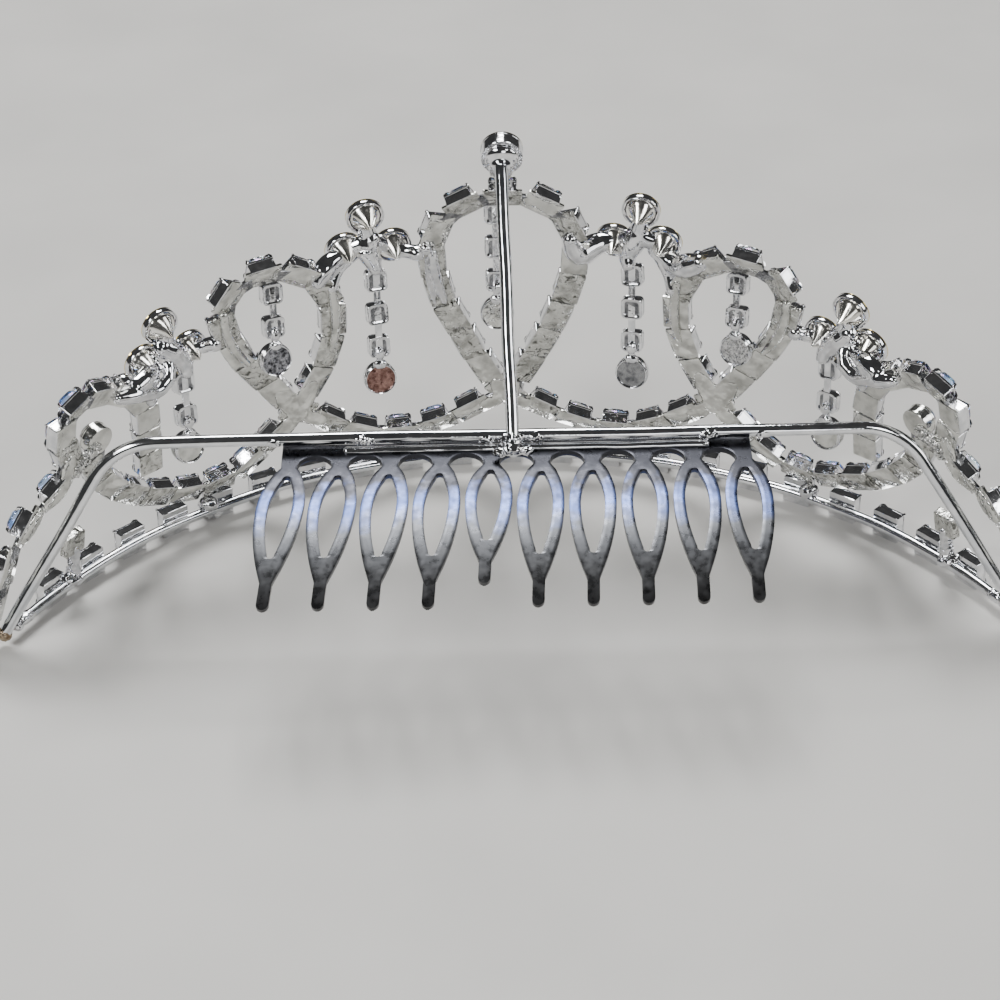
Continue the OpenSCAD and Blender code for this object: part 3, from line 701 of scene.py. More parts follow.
# The base band. Lumps of solder are a place on it, [s] or [s, h, n], and their three radii
band = {
    "half": 62.0,
    "wire": 1.15,
    "cup": 3.2,
    "pitch": 5.65,
    "side": 10,  # cups on each side of the middle one
    "cupOut": 0.35,
    "seam": (1.1, 0.62, 0.45),
    "endLumps": [(63.1, (0.72, 0.66, 0.7)), (61.4, (1.5, 0.66, 0.66))],
    "sideLumps": [([35.5, 0.75, 0.3], (1.2, 0.9, 0.95)), ([54.5, 0.3, 0.1], (1.5, 0.7, 0.7))],
    "drip": (34.6, (0.62, 0.6, 0.7)),
    "foot": (53.9, 5.1, 0.1),  # s, h and n of the cup on each post of solder
    "footCup": (2.7, 0.95),  # its width and depth
    "post": [(0.1, 0.25), (3.9, 0.5)],  # h and n of the post's two ends
    "postRadii": [1.0, 0.72, 0.8],
}


def makeBaseBand():
    # The wire is an arc in the floor's plane, a little uneven by hand, with upright cups on it
    rng = np.random.default_rng(5)
    s = np.linspace(-band["half"], band["half"], 161)
    around = turnAbout(2, np.degrees(s / crown["bandRadius"]))
    path = around @ np.array([0, -crown["bandRadius"], 0]) + crown["middle"]
    path[:, 2] += 0.06 * waves(path, 18, 3)
    origins, axes = bandFrames(np.arange(-band["side"], band["side"] + 1) * band["pitch"], band["cupOut"])
    axes = wobble(axes, rng, (0.8, 0.8, 1.2))
    seams = [ball(o - a[:, 2] * 0.12, band["seam"], a) for o, a in zip(origins, axes)]
    ends = []
    for e in (-1, 1):
        for s, radii in band["endLumps"]:
            place, turn = bandFrames(e * s, 0)
            ends.append(ball(place[0], radii, turn[0]))
    # Posts of solder carry the foot cups, and lumps join the scrolls' lowest cups to the wire
    posts = []
    across, high, out = band["foot"]
    footOrigins, footAxes = frontFrames([[across, high, out, 0], [-across, high, out, 0]])
    for e in (-1, 1):
        low, top = (frontPoint([e * across, *end]) for end in band["post"])
        posts.append(tube([low, (low + top) / 2, top], band["postRadii"], 12, (0, 1, 0), 0.5))
        for (s, h, n), radii in band["sideLumps"]:
            posts.append(ball(frontPoint([e * s, h, n]), radii))
    s, radii = band["drip"]
    posts.append(ball(bandFrames(s, 0)[0][0] + np.array([0, 0, -0.7]), radii))
    parts = [
        part(tube(path, band["wire"] / 2, 14), "wire"),
        part(placed(clawedCup(band["cup"]), origins, axes), "cup"),
        part(placed(cupShape(*band["footCup"], 0.2, 0.05), footOrigins, footAxes), "back"),
        part(melted(seams, 0.14, 4, 0.03, 0.6, 7), "solder"),
        part(melted(posts, 0.13, 4, 0.05, 0.6, 8), "solder"),
        part(melted(ends, 0.13, 4, 0.04, 0.5, 9), "solder"),
    ]
    makePiece("baseBand", "base_band", parts)
    makePiece("baseStones", "base_stones", squareStones(origins, axes, band["cup"]))


makeBaseBand()
print("tiara: base band is made")


# The scrolls. Patches of solder are [s, h, n, length, width, height, turn], and ridges of it are
# runs of [s, h, n, radius] along the chain's back
scrolls = {
    "endCup": 3.3,
    "middlePatches": [[0.3, 9.9, -0.02, 4.4, 2.5, 0.42, 58], [-0.2, 9.8, -0.02, 4.0, 2.4, 0.42, -58],
                      [0, 9.4, -0.05, 2.4, 2.2, 0.6, 0], [1.6, 8.3, 0, 3.4, 1.9, 0.4, -28],
                      [-1.6, 8.3, 0, 3.4, 1.9, 0.4, 28]],
    "sidePatches": [[25.3, 12.0, 0, 6.6, 2.7, 0.42, 56], [23.9, 12.2, 0, 6.4, 2.6, 0.42, 112],
                    [24.5, 10.6, -0.05, 3.0, 2.7, 0.55, 0], [26.0, 9.0, 0, 4.4, 2.3, 0.42, -46],
                    [22.8, 9.4, 0, 4.2, 2.1, 0.42, 35]],
    "middleRidges": [[[8.5, 30.4, -0.05, 0.55], [8.3, 28.2, -0.1, 0.7], [7.7, 25.6, -0.08, 0.62],
                      [7.1, 23.6, -0.02, 0.4]],
                     [[9.1, 29.6, 0, 0.3], [8.9, 26.6, -0.02, 0.36], [8.2, 23.4, 0, 0.22]]],
    "sideRidges": [[[34.3, 27.6, 0, 0.5], [33.9, 25.0, -0.06, 0.62], [32.6, 22.2, -0.06, 0.6],
                    [30.9, 19.8, 0, 0.34]],
                   [[20.6, 27.2, 0, 0.5], [20.2, 24.2, -0.06, 0.62], [20.2, 21.2, -0.05, 0.56],
                    [20.7, 19.0, 0, 0.3]]],
    "curlPatches": [[55.6, 16.6, 0.02, 3.8, 2.3, 0.4, -80], [57.2, 14.2, 0, 4.4, 2.2, 0.4, -22],
                    [61, 12.2, 0.2, 4.5, 2.1, 0.38, -42]],
    "endLumps": [[51.8, 17.2, 0.1, 1.9, 1.7, 0.62, 0], [53.2, 16.8, 0.0, 2.4, 1.6, 0.6, -12],
                 [54.4, 16.0, 0.0, 2.2, 1.9, 0.55, -60]],
}


def patches(table):
    # Flattened balls of solder lying on the back of the front
    rows = np.array(table, float)
    origins, axes = frontFrames(rows[:, [0, 1, 2, 6]])
    sizes = rows[:, 3:6] * np.array([0.5, 0.5, 1.0])
    return [ball(o, size, a, 20, 10) for o, size, a in zip(origins, sizes, axes)]


def runs(tables, fuller=0.0):
    # Tubes of solder along smooth lines, whose radius runs from station to station too
    made = []
    for table in tables:
        stops = np.array(table, float)
        line = smoothLine(stops, np.linspace(0, len(stops) - 1, 10))
        made.append(tube(frontPoint(line[:, :3]), np.maximum(line[:, 3], 0.12) + fuller, 12))
    return made


def makeCentreScroll():
    # The middle pear and the two inner scallops, all from the turned cup where they cross
    rng = np.random.default_rng(11)
    ring = np.concatenate([middleRow, pearRows, middleRow])
    links = pairsOf(ring, np.concatenate([middleRow, innerRows]), np.concatenate([middleRow, otherInner]))
    rows = np.concatenate([middleRow, pearRows, innerRows, otherInner])
    parts, stones = chainParts(rows, links, 1, 0.3, rng)
    parts.append(part(melted(patches(scrolls["middlePatches"]), 0.14, 5, 0.02, 0.9, 11), "flooded"))
    parts.append(part(melted(runs(scrolls["middleRidges"]), 0.12, 3, 0.02, 0.8, 12), "solder"))
    makePair("centreScroll", "centre_scroll", parts, stones)


def makeSideScroll(side, flip, seed):
    # A side pear and an outer scallop, which ends in a round cup
    rng = np.random.default_rng(seed)
    ring = np.concatenate([sideRow, sideRows, sideRow])
    foot = np.concatenate([sideRow, outerRows, endRow])
    rows = np.concatenate([sideRow, sideRows, outerRows])
    parts, stones = chainParts(rows, pairsOf(ring, foot), 1, 0.45, rng)
    origins, axes = frontFrames(endRow)
    wide = scrolls["endCup"]
    endCup = cupShape(wide, crown["cupDeep"], 0, 0.0, ringOutline(28))
    parts.append(part(placed(endCup, origins, axes), "flooded"))
    parts.append(part(melted(patches(scrolls["sidePatches"]), 0.14, 5, 0.02, 0.9, seed), "flooded"))
    parts.append(part(melted(runs(scrolls["sideRidges"]), 0.12, 3, 0.02, 0.8, seed + 1), "flooded"))
    stones += roundStones(wide / 2 - crown["cupWall"] - crown["gap"], 2.2, origins, axes)
    makePair(side + "Scroll", side + "_scroll", parts, stones, flip)


def makeCurl(side, flip, seed):
    # The outer loop and its tail, in one run of cups
    rng = np.random.default_rng(seed)
    rows = np.concatenate([curlRows, tailRows])
    parts, stones = chainParts(rows, pairsOf(rows), 0, 0.8, rng)
    parts.append(part(melted(patches(scrolls["curlPatches"]), 0.14, 5, 0.03, 0.7, seed), "flooded"))
    parts.append(part(melted(patches(scrolls["endLumps"]), 0.12, 3, 0.1, 0.5, seed + 1), "roughSolder"))
    makePair(side + "Curl", side + "_curl", parts, stones, flip)


makeCentreScroll()
for side, flip, seed in (("left", False, 21), ("right", True, 31)):
    makeSideScroll(side, flip, seed)
    makeCurl(side, flip, seed + 5)
print("tiara: scrolls are made")


# The top stone in its round cup, with the solder that holds the brace
top = {
    "place": [0, 42.1, 0.2, 0],
    "rim": 4.3,
    "deep": 1.6,
    # Lumps of solder are [s, h, n] and their three radii, and the neck's run is [s, h, n, radius]
    "lumps": [([0, 42.0, 0.05], (1.8, 1.8, 0.72)), ([0.1, 41.5, -0.3], (1.3, 1.25, 0.85))],
    "neck": [([0, 39.9, 0.6], (1.05, 0.9, 0.75)), ([0.8, 40.2, 0.5], (0.6, 0.7, 0.5))],
    "neckRun": [[0, 41.2, 0.3, 1.05], [0, 40.3, 0.6, 0.85], [0, 39.45, 0.7, 0.75]],
}


def makeTop():
    # A round cup with a gilt line at its lip, and solder behind and below it
    origins, axes = frontFrames(top["place"])
    cup = placed(cupShape(top["rim"], top["deep"], 0, 0.0, ringOutline(36)), origins, axes)
    half = top["rim"] / 2
    line = turned(36, half, [[0.16, 1.58], [-0.02, 1.56], [-0.05, 1.64], [0.02, 1.7], [0.16, 1.68],
                             [0.16, 1.58]])
    lumps = [ball(frontPoint(place), radii, axes[0], 20, 12) for place, radii in top["lumps"]]
    neck = [ball(frontPoint(place), radii, axes[0]) for place, radii in top["neck"]]
    neck += runs([top["neckRun"]])
    parts = [
        part(cup, "cup"),
        part(placed(line, origins, axes), "gilt"),
        part(melted(lumps, 0.11, 8, 0.0, 0.8, 3), "solder"),
        part(melted(neck, 0.11, 4, 0.08, 0.6, 4), "roughSolder"),
    ]
    makePiece("topSetting", "top_setting", parts)
    stone = roundStones(half - crown["cupWall"] - crown["gap"], 2.7, origins, axes)
    makePiece("topStone", "top_stone", stone)


makeTop()


# Flowers: three pointed stones round a mass of solder. Its runs are [s, h, n, radius]
flowers = {
    "chaton": 4.1,
    "cone": 1.76,
    "fuller": 0.22,  # added to each radius, for what the smoothing takes away
    "innerHeads": [[15.95, 34.4], [18.4, 30.4], [12.75, 30.1]],
    "outerHeads": [[41, 27.1], [43.2, 23.2], [37.2, 22.7]],
    # Flat solder between an outer flower and its curl: [s, h, n, length, width, height, turn]
    "webs": [[44.3, 21.6, -0.1, 4.4, 2.6, 0.7, 0], [43.9, 20.6, -0.05, 3.4, 1.7, 0.55, 75],
             [46.2, 22.3, -0.15, 4.0, 2.0, 0.6, 12]],
    "outerSpokes": [
        [[40.3, 24.3, 1.6, 0.9], [40.8, 25.8, 2.0, 0.8]],
        [[40.2, 24.1, 1.5, 0.9], [42.0, 23.4, 1.9, 0.8]],
    ],
    "leftInner": [
        [[15.6, 31.7, 1.8, 1.0], [15.9, 30.6, 1.5, 1.1], [15.5, 29.6, 0.9, 0.9], [15.25, 28.9, 0.4, 0.62]],
        [[15.6, 31.6, 1.8, 0.9], [15.9, 33.0, 2.1, 0.7]],
        [[15.6, 31.5, 1.8, 0.9], [17.3, 30.9, 2.0, 0.7]],
        [[15.6, 31.5, 1.8, 0.9], [13.9, 30.6, 2.0, 0.7]],
        [[18.6, 30.2, 1.7, 0.7], [19.5, 30.1, 1.5, 0.75], [20.5, 29.8, 1.2, 0.95], [21.5, 29.3, 0.7, 0.95],
         [22.2, 28.6, 0.3, 0.7]],
        [[18.3, 29.4, 1.4, 0.34], [19.2, 29.1, 1.0, 0.32], [19.9, 28.4, 0.6, 0.34], [20.5, 27.5, 0.15, 0.45]],
        [[13.0, 30.2, 1.8, 0.62], [12.0, 30.0, 1.5, 0.62], [11.2, 29.9, 1.2, 0.62], [10.2, 30.0, 0.6, 0.7]],
        [[9.3, 31.1, -0.1, 0.45], [9.2, 31.0, -0.1, 0.45]],
    ],
    "rightInner": [
        [[15.4, 31.5, 1.8, 1.0], [15.0, 30.4, 1.5, 1.1], [14.5, 29.4, 1.0, 0.85], [14.7, 28.7, 0.4, 0.62]],
        [[15.5, 31.6, 1.8, 0.9], [15.9, 33.0, 2.1, 0.7]],
        [[15.5, 31.5, 1.8, 0.9], [17.2, 30.8, 2.0, 0.8]],
        [[15.5, 31.5, 1.8, 0.9], [13.9, 30.6, 2.0, 0.75]],
        [[12.9, 30.3, 1.9, 0.75], [11.7, 30.4, 1.6, 0.9], [10.3, 29.9, 1.3, 1.15], [9.2, 29.3, 0.9, 1.3],
         [8.3, 30.2, 0.5, 1.1], [7.9, 31.6, 0.1, 0.7]],
        [[17.6, 29.8, 1.8, 0.7], [19.1, 28.9, 1.5, 0.85], [20.6, 28.5, 1.1, 1.1], [22.0, 29.3, 0.7, 1.15],
         [23.4, 30.2, 0.3, 0.8]],
        [[18.2, 29.0, 1.5, 0.5], [19.3, 27.5, 0.8, 0.42], [20.0, 26.2, 0.1, 0.55]],
    ],
    "leftOuter": [
        [[41.2, 24.8, 1.6, 0.95], [40.2, 24.1, 1.5, 1.2], [39.3, 23.1, 1.2, 1.1], [38.8, 22.2, 0.7, 0.85],
         [38.8, 21.5, 0.35, 0.6]],
        [[37.6, 23.0, 1.8, 0.6], [36.6, 23.1, 1.4, 0.58], [35.8, 23.4, 1.0, 0.6], [35.1, 23.7, 0.5, 0.7]],
        [[40.9, 23.3, 1.0, 0.6], [41.5, 22.2, -0.3, 0.5], [43.4, 21.3, -0.5, 0.62], [45.2, 21.9, -0.5, 0.72],
         [46.9, 22.3, -0.5, 0.7], [48.6, 22.6, -0.2, 0.5]],
        [[42.6, 22.9, 1.2, 0.7], [44.2, 22.9, 0.4, 0.9], [45.9, 22.7, 0.0, 0.9]],
        [[47.0, 23.2, 0.8, 0.85], [47.1, 23.2, 0.8, 0.85]],
    ],
    "rightOuter": [
        [[41.0, 24.6, 1.6, 0.95], [40.2, 23.9, 1.5, 1.2], [39.3, 23.0, 1.2, 1.1], [38.6, 22.1, 0.7, 0.85],
         [38.4, 21.4, 0.35, 0.6]],
        [[37.4, 22.9, 1.8, 0.6], [36.3, 22.8, 1.4, 0.56], [35.5, 23.1, 1.0, 0.58], [34.9, 23.5, 0.5, 0.7]],
        [[40.9, 23.3, 1.0, 0.6], [41.5, 22.2, -0.3, 0.5], [43.4, 21.3, -0.5, 0.7], [45.2, 21.9, -0.5, 0.8],
         [46.9, 22.3, -0.5, 0.75], [48.4, 22.7, -0.2, 0.5]],
        [[41.6, 22.8, 1.2, 0.6], [43.0, 22.9, 0.6, 0.8], [44.5, 23.0, 0.1, 0.95], [45.9, 22.8, -0.2, 0.85]],
    ],
}


def makeFlower(side, which, flip, seed):
    # A silver ring and a gilt line round each stone, and one skin over all the runs of solder
    rng = np.random.default_rng(seed)
    heads = np.array(flowers[which.lower() + "Heads"])
    origins, axes = frontFrames(np.column_stack([heads, np.zeros(3), rng.uniform(0, 30, 3)]))
    half = flowers["chaton"] / 2
    ring = turned(32, half, [[0.22, 2.08], [0.14, 2.0], [0.06, 1.99], [0.01, 2.06], [0.01, 2.56],
                             [0.06, 2.66], [0.22, 2.66], [0.22, 2.08]])
    line = turned(32, half, [[0.2, 2.62], [0.02, 2.6], [0, 2.68], [0.06, 2.75], [0.2, 2.74], [0.2, 2.62]])
    lumps = runs(flowers[side + which], flowers["fuller"])
    if which == "Outer":
        lumps += runs(flowers["outerSpokes"], flowers["fuller"]) + patches(flowers["webs"])
    parts = [
        part(placed(ring, origins, axes), "cup"),
        part(placed(line, origins, axes), "gilt"),
        part(melted(lumps, 0.12, 8, 0.0, 1.1, seed), "solder"),
    ]
    stones = roundStones(flowers["cone"], 3.25, origins, axes, True)
    makePair(side + which + "Flower", side + "_" + which.lower() + "_flower", parts, stones, flip)


for side, flip, seed in (("left", False, 41), ("right", True, 51)):
    makeFlower(side, "Inner", flip, seed)
    makeFlower(side, "Outer", flip, seed + 3)
print("tiara: top stone and flowers are made")


# Each drop has the place of its top cup, the number of square cups, the length of bar above
# them, the finish of its disc, and True where it is flipped
drops = {
    "cup": 2.3,
    "pitch": 3.75,
    "disc": 3.6,
    "swing": 8.0,
    "bar": (0.75, 0.35),  # width and thickness of the link bar
    "barPast": 2.4,  # how far it reaches below the last square cup's middle
    "centre": ([0.9, 34.5, 0.7], 3, 0.15, "flooded", False),
    "leftInner": ([15.15, 27.3, 0], 3, 2.15, "copper", False),
    "rightInner": ([15.15, 27.3, 0], 3, 2.15, "greyed", True),
    "leftPear": ([27.7, 28, 0.5], 2, 0.15, "mottled", False),
    "rightPear": ([27.7, 28, 0.5], 2, 0.15, "grainy", True),
    "leftOuter": ([39, 20.1, 0.1], 2, 1.3, "flooded", False),
    "rightOuter": ([39, 20.1, 0.1], 2, 1.3, "flooded", True),
}


def makeDrop(name, node):
    # Cups on a bar that hangs down from the first, and a round cup at its foot
    place, count, above, finish, flip = drops[name]
    rng = np.random.default_rng(count + len(name))
    turn = np.degrees(place[0] / crown["bandRadius"])
    axes = turnAbout(0, drops["swing"]) @ turnAbout(2, turn) @ turnAbout(0, 90)
    down, out = -axes[0][:, 1], axes[0][:, 2]
    start = frontPoint(place)
    origins = start + down * (np.arange(count + 1) * drops["pitch"])[:, None]
    many = wobble(np.repeat(axes, count, 0), rng, (1.0, 1.0, 2.0))
    # A raised rim runs round each grey back, and two fine rims round the disc
    half = drops["cup"] / 2
    backs = lathed(roundedSquare(0.3), [[0, 0.12], [half - 0.3, 0.12], [half - 0.3, 0.3], [0, 0.3]])
    cup = cupShape(drops["cup"], 1.1, 0.5, 0.2, None, 0.04)
    low = drops["cup"] / 2 + above
    long = (count - 1) * drops["pitch"] + low + drops["barPast"]
    wide, thick = drops["bar"]
    bar = placed(plateShape(), start + down * (long / 2 - low) + out * 0.1, axes, [[wide, long, thick]])
    discHalf = drops["disc"] / 2
    disc = turned(32, discHalf, [[0.3, 0.2], [0.22, 0.02], [0.14, -0.02], [0.08, 0.04], [0.1, 0.2],
                                 [0.04, 0.26], [0, 0.34], [0, 1.05], [0.04, 1.2], [0.2, 1.2], [0.2, 0.55],
                                 [0.3, 0.5], [0.3, 0.2]])
    floor = turned(32, discHalf, [[discHalf, 0.14], [0.28, 0.18], [0.22, 0.3], [discHalf, 0.3]])
    bead = [
        ball(origins[-2] + down * 0.7 - out * 0.02, (0.62, 0.75, 0.4), axes[0]),
        ball(origins[-1] - down * 1.75 + out * 0.1, (0.8, 0.6, 0.45), axes[0]),
    ]
    lower = [(0, 0.33, 0.68), (1, 0.66, 0.95), (0, 0.82, 1.17)]
    upper = [(0, 0.82, 1.25), (1, 0.74, 1.5), (0, 0.6, 1.66), (1, 0.43, 1.75)]
    stones = stoneParts(cutCorners(0.3), lower, upper, origins[:count], many)
    stones += roundStones(discHalf - crown["cupWall"] - crown["gap"], 2.0, origins[count:], axes)
    parts = [
        part(placed(cup, origins[:count], many), "cup"),
        part(placed(backs, origins[:count], many), "greyed"),
        part(bar, "cup"),
        part(placed(disc, origins[count:], axes), "cup"),
        part(placed(floor, origins[count:], axes), finish),
        part(melted(bead, 0.11, 4, 0.03, 0.6, count), "solder"),
    ]
    makePair(name + "Drop", node, parts, stones, flip)


for name in ("centre", "leftInner", "rightInner", "leftPear", "rightPear", "leftOuter", "rightOuter"):
    words = name.replace("Inner", "_inner").replace("Pear", "_pear").replace("Outer", "_outer")
    makeDrop(name, words + "_drop")
print("tiara: drops are made")


# The back wire, bent in one tilted plane, and the brace
wire = {
    "thick": 1.3,
    "foot": (52.5, -25.6),
    "slope": 0.25,
    "high": 19.8,
    "legLean": 32.4,
    "bend": 7.5,
    "joints": [[23.4, 1.2, 0.75], [14.4, 1.6, 0.85], [2.2, 1.3, 0.8], [-0.5, 1.7, 0.95],
               [-2.8, 1.2, 0.8], [-20.2, 1.5, 0.9], [-25.6, 1.1, 0.75]],  # x, length, thickness
    "scorch": (0.78, 0.75, 0.85),
    "braceFoot": (-0.5, -28.15, 19.4),
    "braceTop": (0.2, 41.9, -1.2),
    # Lumps at the brace's foot: how far up it, x and z, and their three radii
    "braceLumps": [([0.2, 0, 0], (1.15, 0.8, 0.75)), ([1.0, 0, 0], (0.8, 0.78, 0.95)),
                   ([0, 1.3, -0.1], (0.8, 0.6, 0.5)), ([0, -1.4, 0], (0.7, 0.6, 0.5))],
}


def makeBackWire():
    # Straight leg, quarter bend and straight top, worked out flat and then tilted back. The bend
    # takes up its radius times the tangent of half its turn on each side of the corner
    tilt = math.atan(wire["slope"])
    topHeight = wire["high"] / math.cos(tilt)
    lean = math.radians(wire["legLean"])
    reach = wire["bend"] * math.tan((math.pi / 2 - lean) / 2)
    corner = wire["foot"][0] - topHeight * math.tan(lean)
    t = np.linspace(0, topHeight / math.cos(lean) - reach, 24)
    leg = np.stack([wire["foot"][0] - t * math.sin(lean), t * math.cos(lean)], -1)
    a = np.linspace(lean, math.pi / 2, 14)[1:]
    centre = np.array([corner - reach, topHeight - wire["bend"]])
    half = np.concatenate([leg, centre + wire["bend"] * np.stack([np.cos(a), np.sin(a)], -1)])
    across = np.linspace(half[-1, 0], -half[-1, 0], 60)[1:-1]
    top = np.stack([across, np.full_like(across, topHeight)], -1)
    flat = np.concatenate([half, top, half[::-1] * [-1, 1]])
    path = np.stack([flat[:, 0], -flat[:, 1] * math.sin(tilt), flat[:, 1] * math.cos(tilt)], -1)
    path = path + crown["middle"] + np.array([0, wire["foot"][1], 0])
    path += 0.09 * np.stack([waves(path, 21, 4), waves(path, 17, 5), waves(path, 24, 6)], -1)
    beads = []
    for x, long, thick in wire["joints"]:
        there = path[np.abs(path[:, 0] - x).argmin()].copy()
        there[0] = x
        beads.append(ball(there + np.array([0, 0.15, -0.1]), (long, thick * 0.85, thick * 0.8)))
    feet = [ball(path[end] + np.array([0, 0, -0.05]), wire["scorch"]) for end in (0, -1)]
    parts = [
        part(tube(path, wire["thick"] / 2, 16, (0, 1, 0)), "wire"),
        part(melted(beads, 0.13, 3, 0.06, 0.7, 12), "solder"),
        part(melted(feet, 0.12, 3, 0.05, 0.5, 13), "scorched"),
    ]
    makePiece("backWire", "back_wire", parts)


def makeBrace():
    # A straight wire, a little uneven by hand, from the back wire to the top stone's cup
    low = np.array(wire["braceFoot"]) + crown["middle"]
    high = frontPoint(wire["braceTop"])
    path = low + (high - low) * np.linspace(0, 1, 30)[:, None]
    path[:, 0] += 0.05 * waves(path, 15, 2)
    way = unit(high - low)
    foot = [ball(low + way * up + np.array([x, 0, z]), radii) for (up, x, z), radii in wire["braceLumps"]]
    parts = [
        part(tube(path, wire["thick"] / 2, 20, (1, 0, 0)), "wire"),
        part(melted(foot, 0.12, 4, 0.05, 0.6, 15), "solder"),
    ]
    makePiece("brace", "brace", parts)


makeBackWire()
makeBrace()
print("tiara: back wire and brace are made")


# The comb: a flat pattern with arches, leaf teeth and eyes, set on a curved sheet
comb = {
    "teeth": 10,
    "pitch": 5.27,
    "long": 18.7,
    "sheet": 0.6,
    "radius": 46.0,
    "slope": 5.0,
    "start": (-28.8, 18.25),
    "middle": -0.8,
    "barShare": 0.957,  # share of the tips' pitch left at the bar
    "drift": 0.95,  # how far all the tips lie to one side
    "barShort": 1.7,
    "neck": 1.56,
    "archTop": 1.25,
    "barTop": 2.3,
    "leafHalf": 2.32,
    "eyeHalf": 1.2,
    "widest": 7.0,  # how far down leaf and eye are widest; the next three are also distances down
    "eyeTop": 2.9,
    "eyeFoot": 12.8,
    "leafEnd": 15.7,
    "eyeRound": 0.36,  # radius of the eye's two ends
    "tipHalf": 0.6,
    "shortTooth": 4,
    "shortShare": 0.87,
    "aim": 9.3,  # how far down the flat pattern lies square to the sheet
    "edge": 0.13,
    "strip": (-19, 17),  # ends of the strip of solder under the bar
}


def leafHalf(d, wide, middle, start, end):
    # Two arcs that meet at the widest place: start and end are [distance, half width]
    out = np.zeros_like(d)
    for at, half in (start, end):
        run, drop = abs(at - middle), wide - half
        r = (run * run + drop * drop) / (2 * drop)
        arc = wide - r + np.sqrt(np.maximum(r * r - (d - middle) ** 2, 0))
        out = np.where((d < middle) == (at < middle), arc, out)
    return out


def toothShape(share, fan):
    # Half widths of the leaf and of its eye at distances d down the tooth, and the strip between.
    # Half circles close the eye's ends and the tip, and the tooth leans by fan about its neck
    top, tipHalf, bend = comb["archTop"], comb["tipHalf"], comb["eyeRound"]
    tip, widest, leafEnd = comb["long"] * share, comb["widest"] * share, comb["leafEnd"] * share
    high, low = comb["eyeTop"] * share, comb["eyeFoot"] * share
    ease = (1 - np.cos(np.linspace(0, np.pi, 13))) / 2
    d = np.concatenate([
        np.linspace(top, high - bend, 6)[:-1],
        high - bend + 2 * bend * ease[:7],
        np.linspace(high - bend + 0.5, low + bend - 0.5, 34),
        low + bend - 2 * bend * ease[6::-1],
        np.linspace(low + bend, tip - tipHalf, 10)[1:],
        tip - tipHalf * (1 - np.sin(np.linspace(0, np.pi / 2, 7)))[1:],
    ])
    d = np.unique(np.round(d, 6))
    outer = leafHalf(d, comb["leafHalf"], widest, (0.6, 0.55), (leafEnd, 0.65))
    outer = np.minimum(outer, comb["neck"] / 2 + 0.6 * np.maximum(d - top, 0))
    outer = np.where(d > leafEnd, np.maximum(tipHalf, outer), outer)
    fromTip = np.clip(d - (tip - tipHalf), 0, tipHalf)
    outer = np.where(fromTip > 0, np.sqrt(np.maximum(tipHalf ** 2 - fromTip ** 2, 0)), outer)
    eye = leafHalf(d, comb["eyeHalf"], widest, (2.8 * share, 0.3), (12.9 * share, 0.3))
    eye = eye * ((d > high) & (d < low))
    for middle in (high, low):
        eye = np.maximum(eye, np.sqrt(np.maximum(bend ** 2 - (d - middle) ** 2, 0)))
    x = eye[:, None] + (outer - eye)[:, None] * np.linspace(0, 1, 4)[None]
    right = np.stack([x, np.broadcast_to(-d[:, None], x.shape), np.zeros_like(x)], -1).reshape(-1, 3)
    faces = gridFaces(len(d), 4, False)
    points, faces = joined((right, [faces]), (right * np.array([-1, 1, 1]), [faces[:, ::-1]]))
    far = -top - points[:, 1]
    across = points[:, 0] + far * math.sin(fan)
    return np.stack([across, -top - far * math.cos(fan), points[:, 2]], -1), faces


def barShape():
    # Columns from the arches' lower edge to the bar's top, with the necks' own columns shared
    pitch = comb["pitch"] * comb["barShare"]
    half = comb["teeth"] * pitch / 2
    neckHalf = comb["neck"] / 2
    archHalf = pitch / 2 - neckHalf
    centres = half - (np.arange(comb["teeth"]) + 0.5) * pitch
    necks = (centres[:, None] + np.linspace(-neckHalf, neckHalf, 7)[None]).ravel()
    middles = centres[:-1] - pitch / 2
    arches = (middles[:, None] - archHalf * np.cos(np.linspace(0, np.pi, 15))[None, 1:-1]).ravel()
    ends = np.array([comb["barShort"] - half, half - comb["barShort"]])
    x = np.unique(np.round(np.concatenate([necks, arches, ends]), 5))
    near = np.abs(x[:, None] - middles[None]).min(1)
    low = -comb["archTop"] + np.sqrt(np.maximum(archHalf ** 2 - near ** 2, 0))
    y = low[:, None] + (comb["barTop"] - low)[:, None] * np.linspace(0, 1, 6)[None]
    points = np.stack([np.broadcast_to(x[:, None], y.shape), y, np.zeros_like(y)], -1).reshape(-1, 3)
    return points, [gridFaces(len(x), 6, False)[:, ::-1]]


def ontoSheet(points):
    # The flat pattern projected on a cylinder that lies along x, and its outward side
    slope = math.radians(comb["slope"])
    aim = slope + comb["aim"] / comb["radius"]
    axis = np.array(comb["start"]) - comb["radius"] * np.array([math.sin(slope), math.cos(slope)])
    u = -points[:, 1] - comb["radius"] * math.sin(aim - slope)
    rise = np.sqrt(comb["radius"] ** 2 - u ** 2) + points[:, 2]
    y = axis[0] + u * math.cos(aim) + rise * math.sin(aim)
    z = axis[1] - u * math.sin(aim) + rise * math.cos(aim)
    return np.stack([points[:, 0] + comb["middle"], y, z], -1) + crown["middle"]


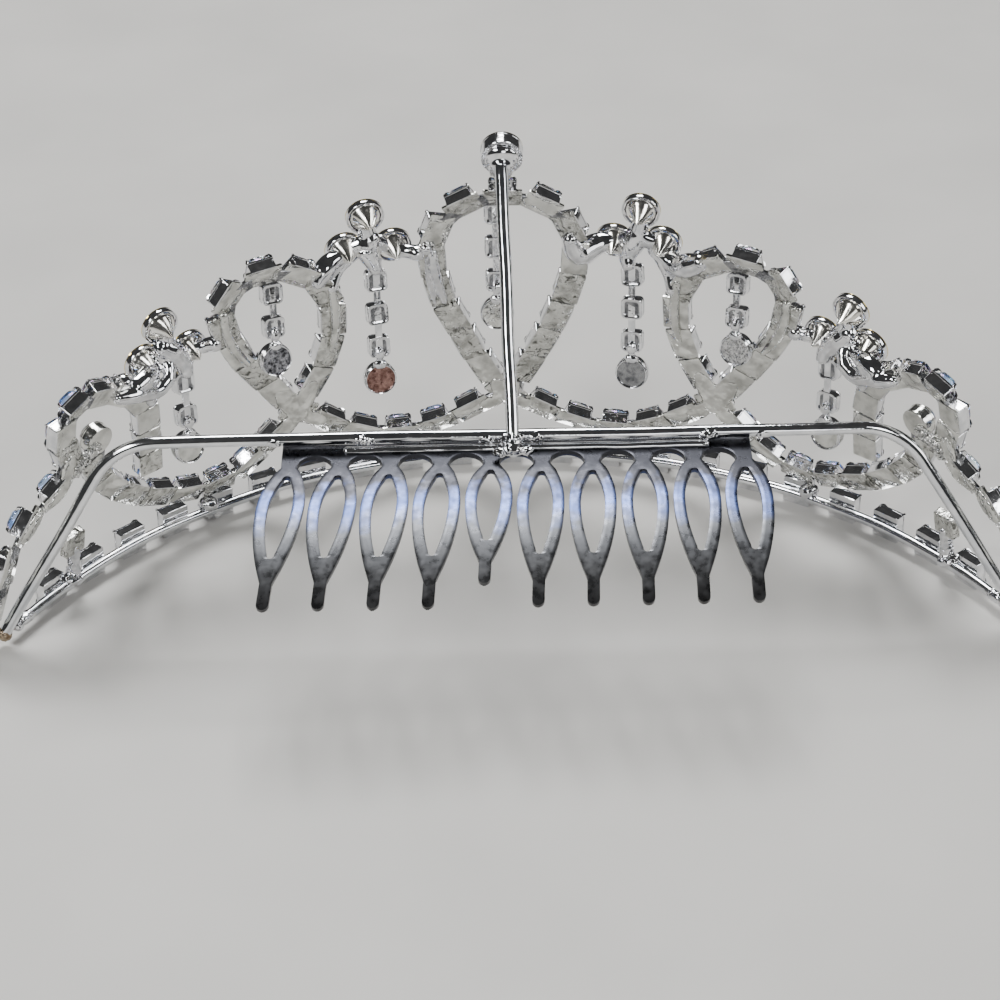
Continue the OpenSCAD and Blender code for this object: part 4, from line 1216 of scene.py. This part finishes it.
def makeComb():
    # The flat pattern is laid on the sheet, thickened and its edges eased
    shapes = [barShape()]
    for k in range(comb["teeth"]):
        tip = (comb["teeth"] / 2 - k - 0.5) * comb["pitch"]
        lean = (tip * (1 - comb["barShare"]) + comb["drift"]) / (comb["long"] - comb["archTop"])
        share = comb["shortShare"] if k == comb["shortTooth"] else 1
        points, faces = toothShape(share, math.atan(lean))
        shapes.append((points + np.array([tip * comb["barShare"], 0, 0]), faces))
    points, faces = joined(*shapes)
    sheet = rawObject("combSheet", ontoSheet(points), faces)
    mergePoints(sheet.data, 4e-5, True)
    thick = sheet.modifiers.new("thick", "SOLIDIFY")
    thick.thickness = comb["sheet"] * mm
    thick.offset = 0
    edge = sheet.modifiers.new("edge", "BEVEL")
    edge.width = comb["edge"] * mm
    edge.segments = 2
    edge.limit_method = "ANGLE"
    edge.angle_limit = math.radians(50)
    points, faces = finishedMesh(sheet)[::2]
    x = np.linspace(*comb["strip"], 40)
    y, z = comb["start"][0] - 1.15, comb["start"][1] + 0.4
    strip = np.stack([x + comb["middle"], np.full_like(x, y), np.full_like(x, z)], -1) + crown["middle"]
    strip += 0.05 * np.stack([np.zeros_like(x), waves(strip, 6, 1), waves(strip, 5, 2)], -1)
    parts = [part((points, faces), "steel"), part(tube(strip, 0.45, 12, (0, 1, 0)), "wire")]
    makePiece("comb", "comb", parts)


makeComb()
print("tiara: comb is made")


# A pale floor and soft studio light
studio = {
    "floor": ("#eceae6", "#d2d1cd"),
    "size": 3.0,
    "world": 0.05,
    "lights": [
        # name, place, size and watts
        ("key", (0.05, -0.42, 0.72), 0.3, 5.5),
        ("left", (0.34, 0.25, 0.4), 0.12, 1.1),
        ("right", (-0.5, 0.12, 0.28), 0.26, 1.0),
        ("nearLeft", (0.4, 0.58, 0.46), 0.18, 1.1),
        ("nearRight", (-0.36, 0.6, 0.52), 0.18, 1.1),
        ("low", (-0.1, 0.8, 0.16), 0.2, 0.4),
    ],
}


def makeStudio():
    # A square floor, an even dim world, and square lamps that face the origin
    corners = np.array([[-1, -1, 0], [1, -1, 0], [1, 1, 0], [-1, 1, 0]]) * studio["size"] / mm
    floor = rawObject("floor", corners, [np.array([[0, 1, 2, 3]])])
    made, tree, shader, place = startMaterial("paintedFloor", {"Roughness": 0.6})
    cloud = addNode(tree, "ShaderNodeTexNoise", {"Scale": frequency(30), "Detail": 3.0}, {"Vector": place})
    light, dark = (fromHex(code) for code in studio["floor"])
    tint = addNode(tree, "ShaderNodeMix", {"data_type": "RGBA", 6: light, 7: dark}, {0: cloud.outputs[0]})
    tree.links.new(tint.outputs[2], shader.inputs["Base Color"])
    floor.data.materials.append(made)
    world = bpy.data.worlds.new("studio")
    world.use_nodes = True
    world.node_tree.nodes["Background"].inputs["Color"].default_value = (1, 1, 1, 1)
    world.node_tree.nodes["Background"].inputs["Strength"].default_value = studio["world"]
    bpy.context.scene.world = world
    for name, place, wide, watts in studio["lights"]:
        data = bpy.data.lights.new(name, "AREA")
        data.size = wide
        data.energy = watts
        lamp = bpy.data.objects.new(name, data)
        lamp.location = place
        lamp.rotation_mode = "QUATERNION"
        lamp.rotation_quaternion = lamp.location.to_track_quat("Z", "Y")
        bpy.context.scene.collection.objects.link(lamp)


makeStudio()
print("tiara: floor and lights are set")
